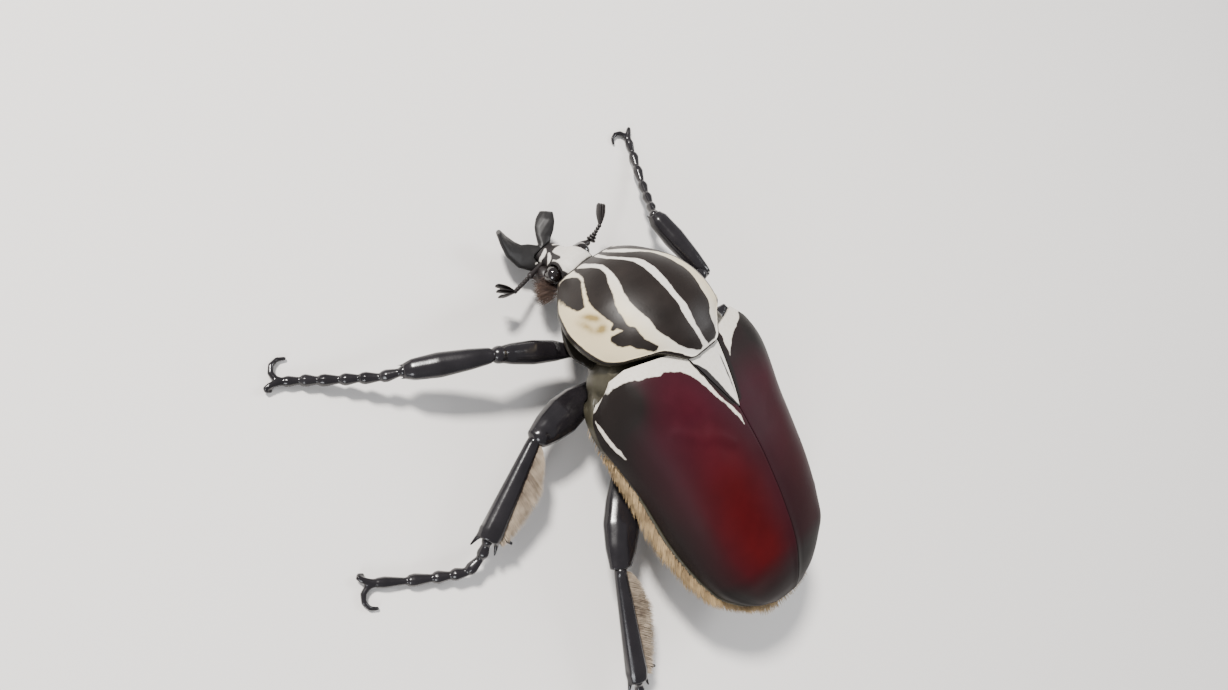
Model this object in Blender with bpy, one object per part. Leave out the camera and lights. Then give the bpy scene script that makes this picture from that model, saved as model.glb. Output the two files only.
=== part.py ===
"""Male goliath beetle, a still model at life size.

The animal looks along +Y, +X is its right side and the floor is z = 0.
Every size below is in millimetres; the meshes are written in metres.
"""
import math
import random

import bpy
import bmesh
import numpy as np

# General sizes
MM = 0.001
GAP = 0.3
FLOOR_LIFT = 1.5

# Wing cases
CASE_FRONT_Y = 8.0
CASE_LENGTH = 54.0
CASE_HALF_WIDTH = 22.3
CASE_HEIGHT = 14.6
CASE_EDGE_Z = 14.9 + FLOOR_LIFT
CASE_EDGE_RISE = 1.0
CASE_THICK = 1.2
ROOF_GAP = 0.62
CASE_ROUNDNESS = 2.2
SHOULDER_FORWARD = 2.7
TUCK_STATIONS = [0.0, 0.2, 0.35, 0.6, 1.0]
RIGHT_TUCK = [-0.06, -0.06, 0.0, 0.08, 0.08]
CASE_ROWS = 22
CASE_COLUMNS = 10
CASE_STATIONS = [0.0, 0.06, 0.14, 0.25, 0.40, 0.55, 0.70, 0.82, 0.90, 0.96, 1.0]
CASE_WIDTHS = [0.86, 0.965, 1.0, 0.955, 0.90, 0.885, 0.825, 0.73, 0.59, 0.42, 0.22]
CASE_HEIGHT_STATIONS = [0.0, 0.10, 0.25, 0.40, 0.55, 0.70, 0.80, 0.90, 0.96, 1.0]
CASE_HEIGHTS = [0.93, 0.97, 1.0, 0.985, 0.91, 0.78, 0.65, 0.44, 0.27, 0.11]

# Scutellum
SCUTELLUM_BASE_Y = 7.6
SCUTELLUM_TIP_Y = -6.4
SCUTELLUM_HALF_BASE = 4.6

# Prothorax, in its own frame: y forward from the middle of its rear margin
PRO_LENGTH = 28.5
PRO_HALF_WIDTH = 18.3
PRO_HEIGHT = 16.2
PRO_ROUNDNESS = 2.15
PRO_REAR = (0.0, 5.5, 15.0 + FLOOR_LIFT)
PRO_PITCH = 8.0
PRO_YAW = 5.0
PRO_RIM = 0.6
PRO_BELLY = 5.6
PRO_CUT_Z = -0.9
PRO_WIDTH_STATIONS = [0.0, 0.02, 0.08, 0.15, 0.25, 0.40, 0.50, 0.62, 0.75, 0.88, 1.0]
PRO_WIDTHS = [0.19, 0.33, 0.48, 0.63, 0.84, 0.95, 0.97, 0.93, 0.80, 0.62, 0.43]
PRO_RIM_STATIONS = [0.0, 0.03, 0.10, 0.20, 0.35, 0.60, 1.0]
PRO_RIMS = [0.88, 0.80, 0.62, 0.40, 0.16, 0.0, 0.0]
PRO_TOP_STATIONS = [0.0, 0.15, 0.30, 0.45, 0.60, 0.75, 0.90, 1.0]
PRO_TOPS = [0.90, 1.0, 1.02, 0.98, 0.90, 0.77, 0.57, 0.30]
PRO_ROWS = 18
PRO_COLUMNS = 16

# Trunk under the wing cases
TRUNK_SPLIT = 0.37
TRUNK_COLUMNS = 16
BELLY_DEPTH = 10.0
SIDE_BULGE = 0.8
TRUNK_END = 0.985
TAIL_HALF = 6.8
TAIL_SWELL = 1.9
TAIL_DROP = 6.6

# Head, along an axis from the neck to the front edge of the face
NECK = (-2.9, 32.7, 9.6)
FACE_FRONT = (-4.5, 39.8, 4.9)
HEAD_HALF_WIDTH = 4.8
HEAD_HALF_HEIGHT = 3.9
EYE_RADIUS = 1.9
EYE_SIDE = 4.7
EYE_FORWARD = 2.4
EYE_UP = 0.6

# Horn: paths, half widths and half thicknesses of its two blades
HORN_PATHS = {
    "left": [(-5.4, 38.9, 4.5), (-8.0, 39.9, 4.3), (-10.2, 41.0, 4.5), (-11.7, 43.1, 5.0),
             (-12.5, 45.3, 5.6), (-13.0, 47.1, 6.3)],
    "right": [(-4.4, 39.4, 4.7), (-3.6, 41.2, 4.8), (-2.9, 42.7, 5.0), (-2.0, 44.2, 5.4),
              (-0.9, 45.8, 5.8), (0.0, 47.2, 6.3)],
}
HORN_WIDTHS = {"left": [2.6, 3.1, 2.9, 2.6, 2.1, 1.6], "right": [1.5, 1.3, 1.7, 2.1, 2.1, 1.65]}
HORN_THICK = [1.2, 1.0, 0.85, 0.75, 0.65, 0.55]
HORN_TWIST = 55.0

# Legs: root, knee, ankle and the points of the foot, then the claws' side
LEGS = {
    "front_left": {
        "coxa": (-5.5, 17.6, 8.2), "root": (-11.5, 18.2, 8.6),
        "knee": (-30.7, 25.0, 12.0), "ankle": (-45.5, 30.1, 7.0),
        "foot": [(-49.1, 31.1, 5.3), (-52.1, 32.7, 4.0), (-54.9, 34.1, 2.9),
                 (-58.1, 35.8, 1.9), (-60.6, 37.2, 1.2), (-63.2, 38.3, 0.95)],
        "femur": (1.9, 1.7), "tibia": (1.9, 1.5), "claw_side": 1, "brush": 0,
    },
    "front_right": {
        "coxa": (3.5, 18.0, 8.2), "root": (9.5, 18.6, 8.6),
        "knee": (27.3, 19.4, 11.0), "ankle": (24.9, 36.6, 8.0),
        "foot": [(27.4, 39.4, 5.9), (29.1, 42.3, 4.4), (30.9, 45.4, 3.0),
                 (32.9, 49.6, 1.9), (34.6, 53.2, 1.1), (35.6, 56.7, 0.95)],
        "femur": (1.9, 1.7), "tibia": (1.8, 1.5), "claw_side": -1, "brush": 0,
    },
    "middle_left": {
        "coxa": (-6.5, 7.5, 7.6), "root": (-12.5, 9.6, 8.0),
        "knee": (-30.6, 7.0, 10.0), "ankle": (-47.0, -4.5, 6.0),
        "foot": [(-48.8, -6.6, 4.3), (-51.9, -7.7, 3.0), (-54.6, -6.6, 2.1),
                 (-57.5, -5.2, 1.5), (-61.6, -3.1, 1.1), (-66.4, -0.3, 0.95)],
        "femur": (2.45, 1.9), "tibia": (1.9, 1.5), "claw_side": -1, "brush": -1,
    },
    "middle_right": {
        "coxa": (6.5, 6.0, 7.6), "root": (12.5, 7.5, 8.0),
        "knee": (27.5, 9.5, 10.5), "ankle": (31.5, -9.0, 5.5),
        "foot": [(32.2, -12.6, 3.9), (32.6, -15.8, 2.6), (32.7, -18.9, 1.7),
                 (32.6, -22.3, 1.2), (32.2, -25.2, 1.0), (31.4, -29.0, 0.95)],
        "femur": (2.4, 1.9), "tibia": (1.9, 1.5), "claw_side": 1, "brush": 1,
    },
    "hind_left": {
        "coxa": (-6.5, -8.0, 7.4), "root": (-16.0, -8.8, 7.8),
        "knee": (-28.2, -23.1, 10.0), "ankle": (-34.4, -43.6, 6.0),
        "foot": [(-34.9, -47.0, 4.4), (-36.2, -50.4, 3.0), (-38.2, -53.3, 2.0),
                 (-40.7, -55.9, 1.3), (-43.2, -58.2, 1.05), (-46.4, -60.9, 0.95)],
        "femur": (3.4, 2.1), "tibia": (1.9, 1.5), "claw_side": -1, "brush": -1,
    },
    "hind_right": {
        "coxa": (6.5, -8.0, 7.4), "root": (14.9, -9.4, 7.8),
        "knee": (27.5, -20.5, 10.0), "ankle": (28.5, -38.5, 5.0),
        "foot": [(27.4, -41.6, 3.6), (25.6, -44.2, 2.5), (23.4, -46.3, 1.7),
                 (20.9, -48.1, 1.15), (18.1, -49.5, 0.98), (14.6, -50.6, 0.95)],
        "femur": (3.2, 2.1), "tibia": (1.9, 1.5), "claw_side": -1, "brush": 1,
    },
}
FOOT_RADIUS = 1.1
LOCK_COUNT = 9
LOCK_FROM = 0.16
LOCK_TO = 0.88
LOCK_REACH = 2.9
LOCK_LEAN = 0.55
LOCK_HALF_WIDTH = 1.0
LOCK_THICK = 0.36
LOCK_SEED = 4
CLAW_REACH = 2.2
CLAW_RADIUS = 0.5

# Feelers
FEELERS = {
    "left": [(-6.6, 38.2, 5.6), (-11.6, 36.0, 5.6), (-17.0, 34.4, 7.0)],
    "right": [(0.6, 37.4, 6.6), (5.6, 37.3, 7.4), (9.0, 39.5, 9.0)],
}
CLUB_TIPS = {"left": (-21.0, 36.1, 8.0), "right": (11.0, 43.5, 10.5)}

COLOURS = {
    "shell_black": ((0.012, 0.011, 0.012, 1.0), 0.22),
    "case_maroon": ((0.070, 0.008, 0.014, 1.0), 0.42),
    "case_white": ((0.72, 0.66, 0.54, 1.0), 0.55),
    "head_white": ((0.70, 0.66, 0.58, 1.0), 0.45),
    "horn_black": ((0.020, 0.018, 0.018, 1.0), 0.25),
    "eye_brown": ((0.030, 0.014, 0.010, 1.0), 0.12),
    "body_olive": ((0.075, 0.070, 0.045, 1.0), 0.40),
    "hair_tan": ((0.45, 0.28, 0.12, 1.0), 0.80),
}


def clear_scene():
    for item in list(bpy.data.objects):
        bpy.data.objects.remove(item, do_unlink=True)


def material(name):
    found = bpy.data.materials.get(name)
    if found:
        return found
    colour, roughness = COLOURS[name]
    made = bpy.data.materials.new(name)
    made.use_nodes = True
    shader = made.node_tree.nodes["Principled BSDF"]
    shader.inputs["Base Color"].default_value = colour
    shader.inputs["Roughness"].default_value = roughness
    shader.inputs["Metallic"].default_value = 0.0
    return made


def smooth(knots, values, t):
    """Cubic curve through a few set values, without overshoot."""
    k = np.asarray(knots, float)
    v = np.asarray(values, float)
    t = np.clip(np.asarray(t, float), k[0], k[-1])
    step = np.diff(k)
    slope = np.diff(v) / step
    tangent = np.zeros_like(v)
    tangent[0] = slope[0]
    tangent[-1] = slope[-1]
    product = slope[:-1] * slope[1:]
    total = slope[:-1] + slope[1:]
    total[product <= 0] = 1.0
    tangent[1:-1] = np.where(product > 0, 2 * product / total, 0.0)
    i = np.clip(np.searchsorted(k, t, side="right") - 1, 0, len(k) - 2)
    u = (t - k[i]) / step[i]
    a = (1 + 2 * u) * (1 - u) ** 2 * v[i]
    b = u * (1 - u) ** 2 * step[i] * tangent[i]
    c = u * u * (3 - 2 * u) * v[i + 1]
    d = u * u * (u - 1) * step[i] * tangent[i + 1]
    return a + b + c + d


def unit(v):
    v = np.asarray(v, float)
    return v / np.linalg.norm(v)


def bend(a, roundness):
    """Sideways and upward shares of a rounded section at angle a."""
    power = 2.0 / roundness
    side = np.sign(np.sin(a)) * np.abs(np.sin(a)) ** power
    rise = np.abs(np.cos(a)) ** power
    return side, rise


def angle_at(share, roundness):
    """Angle whose sideways share is the given one."""
    return np.arcsin(np.clip(share, 0.0, 1.0) ** (roundness / 2.0))


def add_object(name, points, faces, colour):
    mesh = bpy.data.meshes.new(name)
    mesh.from_pydata([tuple(p * MM) for p in points], [], faces)
    mesh.materials.append(material(colour))
    tidy_mesh(mesh)
    obj = bpy.data.objects.new(name, mesh)
    bpy.context.scene.collection.objects.link(obj)
    return obj


def tidy_mesh(mesh):
    bm = bmesh.new()
    bm.from_mesh(mesh)
    bmesh.ops.remove_doubles(bm, verts=bm.verts, dist=2e-6)
    bmesh.ops.dissolve_degenerate(bm, edges=bm.edges, dist=1e-6)
    bmesh.ops.triangulate(bm, faces=[f for f in bm.faces if len(f.verts) > 4])
    bmesh.ops.recalc_face_normals(bm, faces=bm.faces)
    if bm.calc_volume(signed=True) < 0:
        bmesh.ops.reverse_faces(bm, faces=bm.faces)
    bm.to_mesh(mesh)
    bm.free()


def shell(name, top, bottom, colour):
    """Closed body between two grids of points with the same rows and columns."""
    rows, columns = top.shape[:2]
    points = list(top.reshape(-1, 3)) + list(bottom.reshape(-1, 3))
    under = rows * columns

    def at(i, j, low=0):
        return low * under + i * columns + j

    faces = []
    for i in range(rows - 1):
        for j in range(columns - 1):
            faces.append((at(i, j), at(i, j + 1), at(i + 1, j + 1), at(i + 1, j)))
            faces.append((at(i, j, 1), at(i + 1, j, 1), at(i + 1, j + 1, 1), at(i, j + 1, 1)))
    for i in range(rows - 1):
        for j in (0, columns - 1):
            faces.append((at(i, j), at(i + 1, j), at(i + 1, j, 1), at(i, j, 1)))
    for j in range(columns - 1):
        for i in (0, rows - 1):
            faces.append((at(i, j), at(i, j, 1), at(i, j + 1, 1), at(i, j + 1)))
    return add_object(name, points, faces, colour)


def loft(name, rings, colour):
    """Closed body through rings of points, with a face on each end."""
    count = len(rings[0])
    points = [p for ring in rings for p in ring]
    faces = []
    for i in range(len(rings) - 1):
        for j in range(count):
            k = (j + 1) % count
            faces.append((i * count + j, i * count + k, (i + 1) * count + k, (i + 1) * count + j))
    faces.append(tuple(range(count)))
    last = (len(rings) - 1) * count
    faces.append(tuple(last + j for j in reversed(range(count))))
    return add_object(name, points, faces, colour)


def section(centre, side, up, half_side, half_up, sides, roundness=2.0):
    """One ring of a loft: a rounded section about a centre."""
    ring = []
    for n in range(sides):
        a = 2 * math.pi * n / sides
        s = math.copysign(abs(math.sin(a)) ** (2 / roundness), math.sin(a))
        c = math.copysign(abs(math.cos(a)) ** (2 / roundness), math.cos(a))
        ring.append(np.asarray(centre) + side * half_side * s + up * half_up * c)
    return ring


def frame_of(direction, upward=(0.0, 0.0, 1.0)):
    forward = unit(direction)
    side = unit(np.cross(forward, upward))
    return forward, side, np.cross(side, forward)


def limb(name, start, end, halves, shape, colour, sides=12, start_cut=None, end_cut=None):
    """A limb segment along a straight line; its ends are cut by mitre planes."""
    start = np.asarray(start, float)
    end = np.asarray(end, float)
    forward, side, up = frame_of(end - start)
    rings = []
    for t, size in shape:
        centre = start + (end - start) * t
        rings.append(section(centre, side, up, halves[0] * size, halves[1] * size, sides))
    made = loft(name, rings, colour)
    if start_cut is not None:
        cut_flat(made, start + start_cut * GAP / 2, start_cut)
    if end_cut is not None:
        cut_flat(made, end - end_cut * GAP / 2, -end_cut)
    return made


def tube(name, points, radii, colour, sides=8, flat=1.0, upward=(0.0, 0.0, 1.0)):
    """A bent tube through a list of points with a radius at each."""
    points = [np.asarray(p, float) for p in points]
    rings = []
    for i, centre in enumerate(points):
        before = points[max(i - 1, 0)]
        after = points[min(i + 1, len(points) - 1)]
        _, side, up = frame_of(after - before, upward)
        rings.append(section(centre, side, up, radii[i], radii[i] * flat, sides))
    return loft(name, rings, colour)


def applied(obj):
    """Bakes an object's modifiers into its mesh."""
    depsgraph = bpy.context.evaluated_depsgraph_get()
    mesh = bpy.data.meshes.new_from_object(obj.evaluated_get(depsgraph))
    obj.modifiers.clear()
    obj.data = mesh
    return obj


def keep_largest(obj):
    """Keeps the largest closed surface of a mesh."""
    bm = bmesh.new()
    bm.from_mesh(obj.data)
    bmesh.ops.remove_doubles(bm, verts=bm.verts, dist=2e-6)
    bmesh.ops.dissolve_degenerate(bm, edges=bm.edges, dist=1e-6)
    left = set(bm.verts)
    best = set()
    while left:
        seed = left.pop()
        group = {seed}
        front = [seed]
        while front:
            vert = front.pop()
            for edge in vert.link_edges:
                other = edge.other_vert(vert)
                if other in left:
                    left.discard(other)
                    group.add(other)
                    front.append(other)
        if len(group) > len(best):
            best = group
    spare = [v for v in bm.verts if v not in best]
    bmesh.ops.delete(bm, geom=spare, context="VERTS")
    bm.to_mesh(obj.data)
    bm.free()
    return obj


def is_closed(mesh):
    bm = bmesh.new()
    bm.from_mesh(mesh)
    closed = bool(bm.edges) and all(edge.is_manifold for edge in bm.edges)
    bm.free()
    return closed


def boolean(obj, others, operation):
    """One Boolean of an object with a collection of closed meshes."""
    group = bpy.data.collections.new("operands")
    bpy.context.scene.collection.children.link(group)
    for item in others:
        for owner in list(item.users_collection):
            owner.objects.unlink(item)
        group.objects.link(item)
    before = obj.data
    for solver in ("EXACT", "MANIFOLD"):
        obj.data = before.copy()
        change = obj.modifiers.new("join", "BOOLEAN")
        change.operation = operation
        change.operand_type = "COLLECTION"
        change.collection = group
        change.solver = solver
        keep_largest(applied(obj))
        if is_closed(obj.data):
            break
    for item in others:
        bpy.data.objects.remove(item, do_unlink=True)
    bpy.data.collections.remove(group)
    return obj


def grown(obj, distance=GAP + 0.08):
    """A copy of a body with its surface moved outward."""
    mesh = obj.data.copy()
    bm = bmesh.new()
    bm.from_mesh(mesh)
    bm.normal_update()
    for vert in bm.verts:
        vert.co += vert.normal * distance * MM * min(vert.calc_shell_factor(), 1.6)
    bm.to_mesh(mesh)
    bm.free()
    copy = bpy.data.objects.new(obj.name + "_grown", mesh)
    bpy.context.scene.collection.objects.link(copy)
    return copy


def carve(obj, neighbours):
    """Takes a thin clearance round the neighbours out of a body."""
    return boolean(obj, [grown(item) for item in neighbours], "DIFFERENCE")


def cut_flat(obj, point, normal):
    """Keeps the part of a body on the side that the normal points to."""
    bm = bmesh.new()
    bm.from_mesh(obj.data)
    everything = list(bm.verts) + list(bm.edges) + list(bm.faces)
    co = tuple(np.asarray(point) * MM)
    bmesh.ops.bisect_plane(bm, geom=everything, dist=1e-7, plane_co=co,
                           plane_no=tuple(normal), clear_inner=True)
    rim = [e for e in bm.edges if e.is_boundary]
    bmesh.ops.contextual_create(bm, geom=rim)
    bmesh.ops.triangulate(bm, faces=[f for f in bm.faces if len(f.verts) > 4])
    bmesh.ops.recalc_face_normals(bm, faces=bm.faces)
    bm.to_mesh(obj.data)
    bm.free()
    return obj


# Wing cases, scutellum and trunk


def case_point(s, share, half_width, height, drop=0.0):
    """Point of the wing cases' vault at length share s and side share.

    The right wing case is tucked in a little, as on the animal in the photo.
    """
    width = half_width * smooth(CASE_STATIONS, CASE_WIDTHS, s)
    rise = height * smooth(CASE_HEIGHT_STATIONS, CASE_HEIGHTS, s)
    angle = angle_at(abs(share), CASE_ROUNDNESS)
    _, up = bend(angle, CASE_ROUNDNESS)
    bulge = np.interp(abs(share), [0.0, 0.15, 0.5, 0.8, 0.92, 1.0], [0, 0, 0.55, 1, 0.75, -0.3])
    front = CASE_FRONT_Y + SHOULDER_FORWARD * bulge
    y = front + (CASE_FRONT_Y - CASE_LENGTH - front) * s
    edge = CASE_EDGE_Z + CASE_EDGE_RISE * s
    width *= 1.0 - max(share, 0.0) ** 2 * smooth(TUCK_STATIONS, RIGHT_TUCK, s)
    return np.array([share * width, y, edge + rise * up - drop])


def scutellum_half(y):
    span = SCUTELLUM_BASE_Y - SCUTELLUM_TIP_Y
    return SCUTELLUM_HALF_BASE * np.clip((y - SCUTELLUM_TIP_Y) / span, 0.0, 1.0) ** 0.85


def case_grid(sign, inset, drop):
    """One wing case's surface from the middle seam to the outer edge."""
    rows = []
    for s in np.linspace(0.0, 1.0, CASE_ROWS + 1):
        half = CASE_HALF_WIDTH - inset / smooth(CASE_STATIONS, CASE_WIDTHS, s)
        width = half * smooth(CASE_STATIONS, CASE_WIDTHS, s)
        y = CASE_FRONT_Y - CASE_LENGTH * s
        seam = GAP / 2 + scutellum_half(y) * 1.04
        start = angle_at(seam / width, CASE_ROUNDNESS)
        row = []
        for a in np.linspace(start, math.pi / 2, CASE_COLUMNS + 1):
            side, _ = bend(a, CASE_ROUNDNESS)
            point = case_point(s, float(side) * sign, half, CASE_HEIGHT, 0.0)
            point[2] -= drop * (1.0 - 0.999 * float(side) ** 6)
            row.append(point)
        rows.append(row)
    return np.array(rows)


def wing_case(name, sign):
    outer = case_grid(sign, 0.0, 0.0)
    inner = case_grid(sign, CASE_THICK, CASE_THICK)
    inner[:, -1, 2] = outer[:, -1, 2]
    return shell(name, outer, inner, "case_maroon")


def scutellum():
    top = []
    low = []
    for t in np.linspace(0.0, 1.0, 8):
        y = SCUTELLUM_BASE_Y + (SCUTELLUM_TIP_Y + 0.3 - SCUTELLUM_BASE_Y) * t
        s = (CASE_FRONT_Y - y) / CASE_LENGTH
        half = max(scutellum_half(y), 0.25)
        width = CASE_HALF_WIDTH * smooth(CASE_STATIONS, CASE_WIDTHS, s)
        row = [case_point(s, x / width, CASE_HALF_WIDTH, CASE_HEIGHT, 0.0)
               for x in np.linspace(-half, half, 5)]
        row = np.array(row)
        row[:, 1] = y
        top.append(row)
        low.append(row - (0, 0, CASE_THICK))
    return shell("scutellum", np.array(top), np.array(low), "case_white")


def trunk(name, first, last, rows, colour, nose=0.0):
    """A part of the trunk: its roof lies under the wing cases, its floor is the belly."""
    top = []
    low = []
    stations = list(np.linspace(first, last, rows))
    flat_rows = (stations[0], stations[-1])
    if nose:
        stations = [-nose, -nose / 2] + stations
    for s in stations:
        clipped = max(s, 0.0)
        narrow = 1.0 + 1.6 * min(s, 0.0)
        share_width = smooth(CASE_STATIONS, CASE_WIDTHS, clipped)
        half = (CASE_HALF_WIDTH - (CASE_THICK + ROOF_GAP) / share_width) * narrow
        height = CASE_HEIGHT * (1.0 + 3.5 * min(s, 0.0))
        depth = BELLY_DEPTH * smooth([-0.13, 0.0, 0.3, 0.6, 0.85, 1.0], [0.7, 0.95, 1.0, 0.95, 0.85, 0.74], s)
        ripple = 0.25 * abs(math.sin(math.pi * 9.0 * s)) if s > TRUNK_SPLIT else 0.0
        bulge = SIDE_BULGE * smooth([0.2, 0.5, 1.0], [0.0, 1.0, 1.0], s) - 0.2
        half_low = CASE_HALF_WIDTH * narrow + bulge / share_width
        roof = []
        floor = []
        for a in np.linspace(-math.pi / 2, math.pi / 2, TRUNK_COLUMNS + 1):
            share, rise = bend(a, CASE_ROUNDNESS)
            sink = GAP + 0.1 + CASE_THICK * (1.0 - float(share) ** 6)
            point = case_point(clipped, float(share), half, height, sink)
            point[1] -= CASE_LENGTH * min(s, 0.0)
            if s in flat_rows:
                point[1] = CASE_FRONT_Y - CASE_LENGTH * s
            roof.append(point)
            base = case_point(clipped, float(share), half_low, 0.0, GAP + 0.1)
            base[1] = point[1]
            base[2] -= (depth - ripple) * float(rise)
            floor.append(base)
        top.append(roof)
        low.append(floor)
    return shell(name, np.array(top), np.array(low), colour)


def tail_plate():
    """The plate that closes the abdomen behind the wing cases."""
    front = CASE_FRONT_Y - CASE_LENGTH * TRUNK_END - GAP
    outer = []
    inner = []
    for v in np.linspace(0.0, 1.0, 8):
        row = []
        half = TAIL_HALF * (1.0 - v ** 2.2) + 1.4 * v
        for u in np.linspace(-1.0, 1.0, 9):
            swell = TAIL_SWELL * math.sin(math.pi * min(v * 0.8 + 0.15, 1.0)) * (1 - 0.7 * u * u)
            row.append((half * u, front - 0.5 - swell, CASE_EDGE_Z - 0.1 - TAIL_DROP * v))
        outer.append(row)
        inner.append([(x, front, z) for x, y, z in row])
    return shell("tail_plate", np.array(outer), np.array(inner), "hair_tan")


# Prothorax


def pro_place(points):
    """From the prothorax's own frame to the world."""
    points = np.asarray(points, float)
    pitch = math.radians(PRO_PITCH)
    yaw = math.radians(PRO_YAW)
    tip = np.array([[1, 0, 0], [0, math.cos(pitch), math.sin(pitch)],
                    [0, -math.sin(pitch), math.cos(pitch)]])
    turn = np.array([[math.cos(yaw), -math.sin(yaw), 0],
                     [math.sin(yaw), math.cos(yaw), 0], [0, 0, 1]])
    pivot = np.array([0, 0, PRO_HEIGHT / 2])
    return (points - pivot) @ tip.T @ turn.T + pivot + np.array(PRO_REAR)


def prothorax():
    top = []
    low = []
    for step in range(PRO_ROWS + 1):
        t = (step / PRO_ROWS) ** 1.35
        width = PRO_HALF_WIDTH * smooth(PRO_WIDTH_STATIONS, PRO_WIDTHS, t)
        rim = PRO_HEIGHT * smooth(PRO_RIM_STATIONS, PRO_RIMS, t)
        crest = PRO_HEIGHT * smooth(PRO_TOP_STATIONS, PRO_TOPS, t)
        depth = PRO_BELLY * smooth([0.0, 0.1, 0.35, 0.8, 1.0], [0.0, 0.25, 1.0, 1.0, 0.75], t)
        roof = []
        floor = []
        for a in np.linspace(-math.pi / 2, math.pi / 2, PRO_COLUMNS + 1):
            share, rise = bend(a, PRO_ROUNDNESS)
            x = width * float(share)
            y = PRO_LENGTH * t
            roof.append((x, y, rim + (crest - rim) * float(rise)))
            floor.append((x * 0.99, y, rim - PRO_RIM - depth * float(rise)))
        top.append(roof)
        low.append(floor)
    top = pro_place(top)
    low = pro_place(low)
    return shell("pronotum", top, low, "shell_black")


# Head


def head_frame():
    start = np.array(NECK)
    end = np.array(FACE_FRONT)
    forward, side, up = frame_of(end - start)
    return start, end, forward, side, up


def head():
    start, end, forward, side, up = head_frame()
    length = np.linalg.norm(end - start)
    shape = [(-0.15, 0.92, 0.92), (0.0, 0.98, 1.0), (0.2, 1.0, 1.0), (0.36, 0.95, 0.88),
             (0.5, 0.78, 0.72), (0.64, 0.66, 0.56), (0.85, 0.62, 0.42), (1.0, 0.60, 0.36)]
    rings = []
    for t, wide, high in shape:
        centre = start + forward * length * t - up * 0.0
        rings.append(section(centre, side, up, HEAD_HALF_WIDTH * wide,
                             HEAD_HALF_HEIGHT * high, 20, 2.5))
    return loft("head", rings, "head_white")


def eye(name, sign):
    start, end, forward, side, up = head_frame()
    centre = start + forward * EYE_FORWARD + side * EYE_SIDE * sign + up * EYE_UP
    rings = []
    for k in range(9):
        a = math.pi * (k + 0.25) / 8.5
        middle = centre - forward * EYE_RADIUS * math.cos(a)
        size = EYE_RADIUS * math.sin(a)
        rings.append(section(middle, side, up, size, size * 0.95, 14))
    return loft(name, rings, "eye_brown")


def prong(name, key):
    """One blade of the horn: it twists until its outer edge stands up at the tip."""
    sign = -1 if key == "left" else 1
    path = np.array(HORN_PATHS[key])
    last = len(path) - 1
    rings = []
    for i in range(last + 1):
        along = unit(path[min(i + 1, last)] - path[max(i - 1, 0)])
        level = unit(np.cross(along, (0, 0, 1))) * sign
        rise = unit(np.cross(level, along)) * sign
        turn = math.radians(HORN_TWIST * (i / last) ** 2)
        broad = level * math.cos(turn) + rise * math.sin(turn)
        thin = rise * math.cos(turn) - level * math.sin(turn)
        rings.append(section(path[i], broad, thin, HORN_WIDTHS[key][i], HORN_THICK[i], 12, 2.3))
    return loft(name, rings, "horn_black")


def horn():
    """A forked horn: its two blades are joined at the root."""
    return boolean(prong("horn", "left"), [prong("right_blade", "right")], "UNION")


def feeler(name, key):
    path = FEELERS[key]
    stem = tube(name, [path[0], path[1], path[2]], [0.75, 0.5, 0.55], "shell_black")
    tip = np.array(CLUB_TIPS[key])
    start = np.array(path[2])
    along, side, up = frame_of(tip - start)
    leaves = []
    for turn in (-1, 0, 1):
        way = unit(along + side * 0.11 * turn)
        reach = np.linalg.norm(tip - start) * (1.0 - 0.04 * turn)
        root = start + side * 0.42 * turn - along * (0.45 + 0.07 * turn)
        points = [root, root + way * reach * 0.4, root + way * reach * 0.8, root + way * reach]
        leaves.append(tube("leaf", points, [0.45, 0.5, 0.6, 0.35], "shell_black", 8, 1.7))
    return boolean(stem, leaves, "UNION")


def mouthparts():
    """Jaw block with two bent palps under the face."""
    start, end, forward, side, up = head_frame()
    under = start + forward * 4.2 - up * 2.6
    rings = [section(under + forward * v, side, up, 3.4 * w, 1.5 * w, 12)
             for v, w in ((-2.2, 0.75), (-1.0, 1.0), (1.0, 1.0), (2.4, 0.7), (3.4, 0.35))]
    block = loft("mouthparts", rings, "shell_black")
    palps = []
    for sign in (-1, 1):
        first = under + side * 2.6 * sign + forward * 0.4
        middle = first + side * 2.4 * sign + forward * 1.2
        last = middle + side * 0.8 * sign + forward * 2.4
        palps.append(tube("palp", [first, middle, last], [0.5, 0.45, 0.4], "shell_black", 8))
    return boolean(block, palps, "UNION")


# Legs


FEMUR_SHAPE = [(-0.12, 0.70), (0.12, 0.92), (0.3, 1.08), (0.55, 1.12), (0.8, 0.98),
               (0.95, 0.84), (1.13, 0.70)]
TIBIA_SHAPE = [(-0.12, 0.70), (0.06, 0.80), (0.25, 0.82), (0.5, 0.92), (0.75, 1.02),
               (0.92, 1.12), (1.0, 1.05)]


def mitre(before, joint, after):
    first = unit(np.asarray(joint) - before)
    second = unit(np.asarray(after) - joint)
    return unit(first + second)


def foot_rings(points):
    """Centres and radii of a foot of five knobs, each wider at its far end."""
    centres = []
    radii = []
    path = [np.asarray(p, float) for p in points]
    for i in range(len(path) - 1):
        last = i == len(path) - 2
        for t, size in ((0.0, 0.52), (0.72, 1.0), (0.93, 0.86)):
            size = size * (0.86 if last else 1.0)
            centres.append(path[i] * (1 - t) + path[i + 1] * t)
            radii.append(FOOT_RADIUS * size)
    centres.append(path[-1])
    radii.append(FOOT_RADIUS * 0.62)
    return centres, radii


def claw(end, along, side, reach, spread):
    """A hook that leaves the foot's end and curls to one side."""
    points = []
    radii = []
    for k in range(6):
        a = math.radians(195) * k / 5
        spot = end + along * reach * (math.sin(a) + 0.15) + side * reach * (1 - math.cos(a))
        spot[2] = max(end[2] * (1 - k / 5) + 0.42 * k / 5, 0.42) + spread * math.sin(a / 1.1)
        points.append(spot)
        radii.append(CLAW_RADIUS * (1.25 - 0.75 * k / 5))
    return tube("claw", points, radii, "shell_black", 6)


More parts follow.
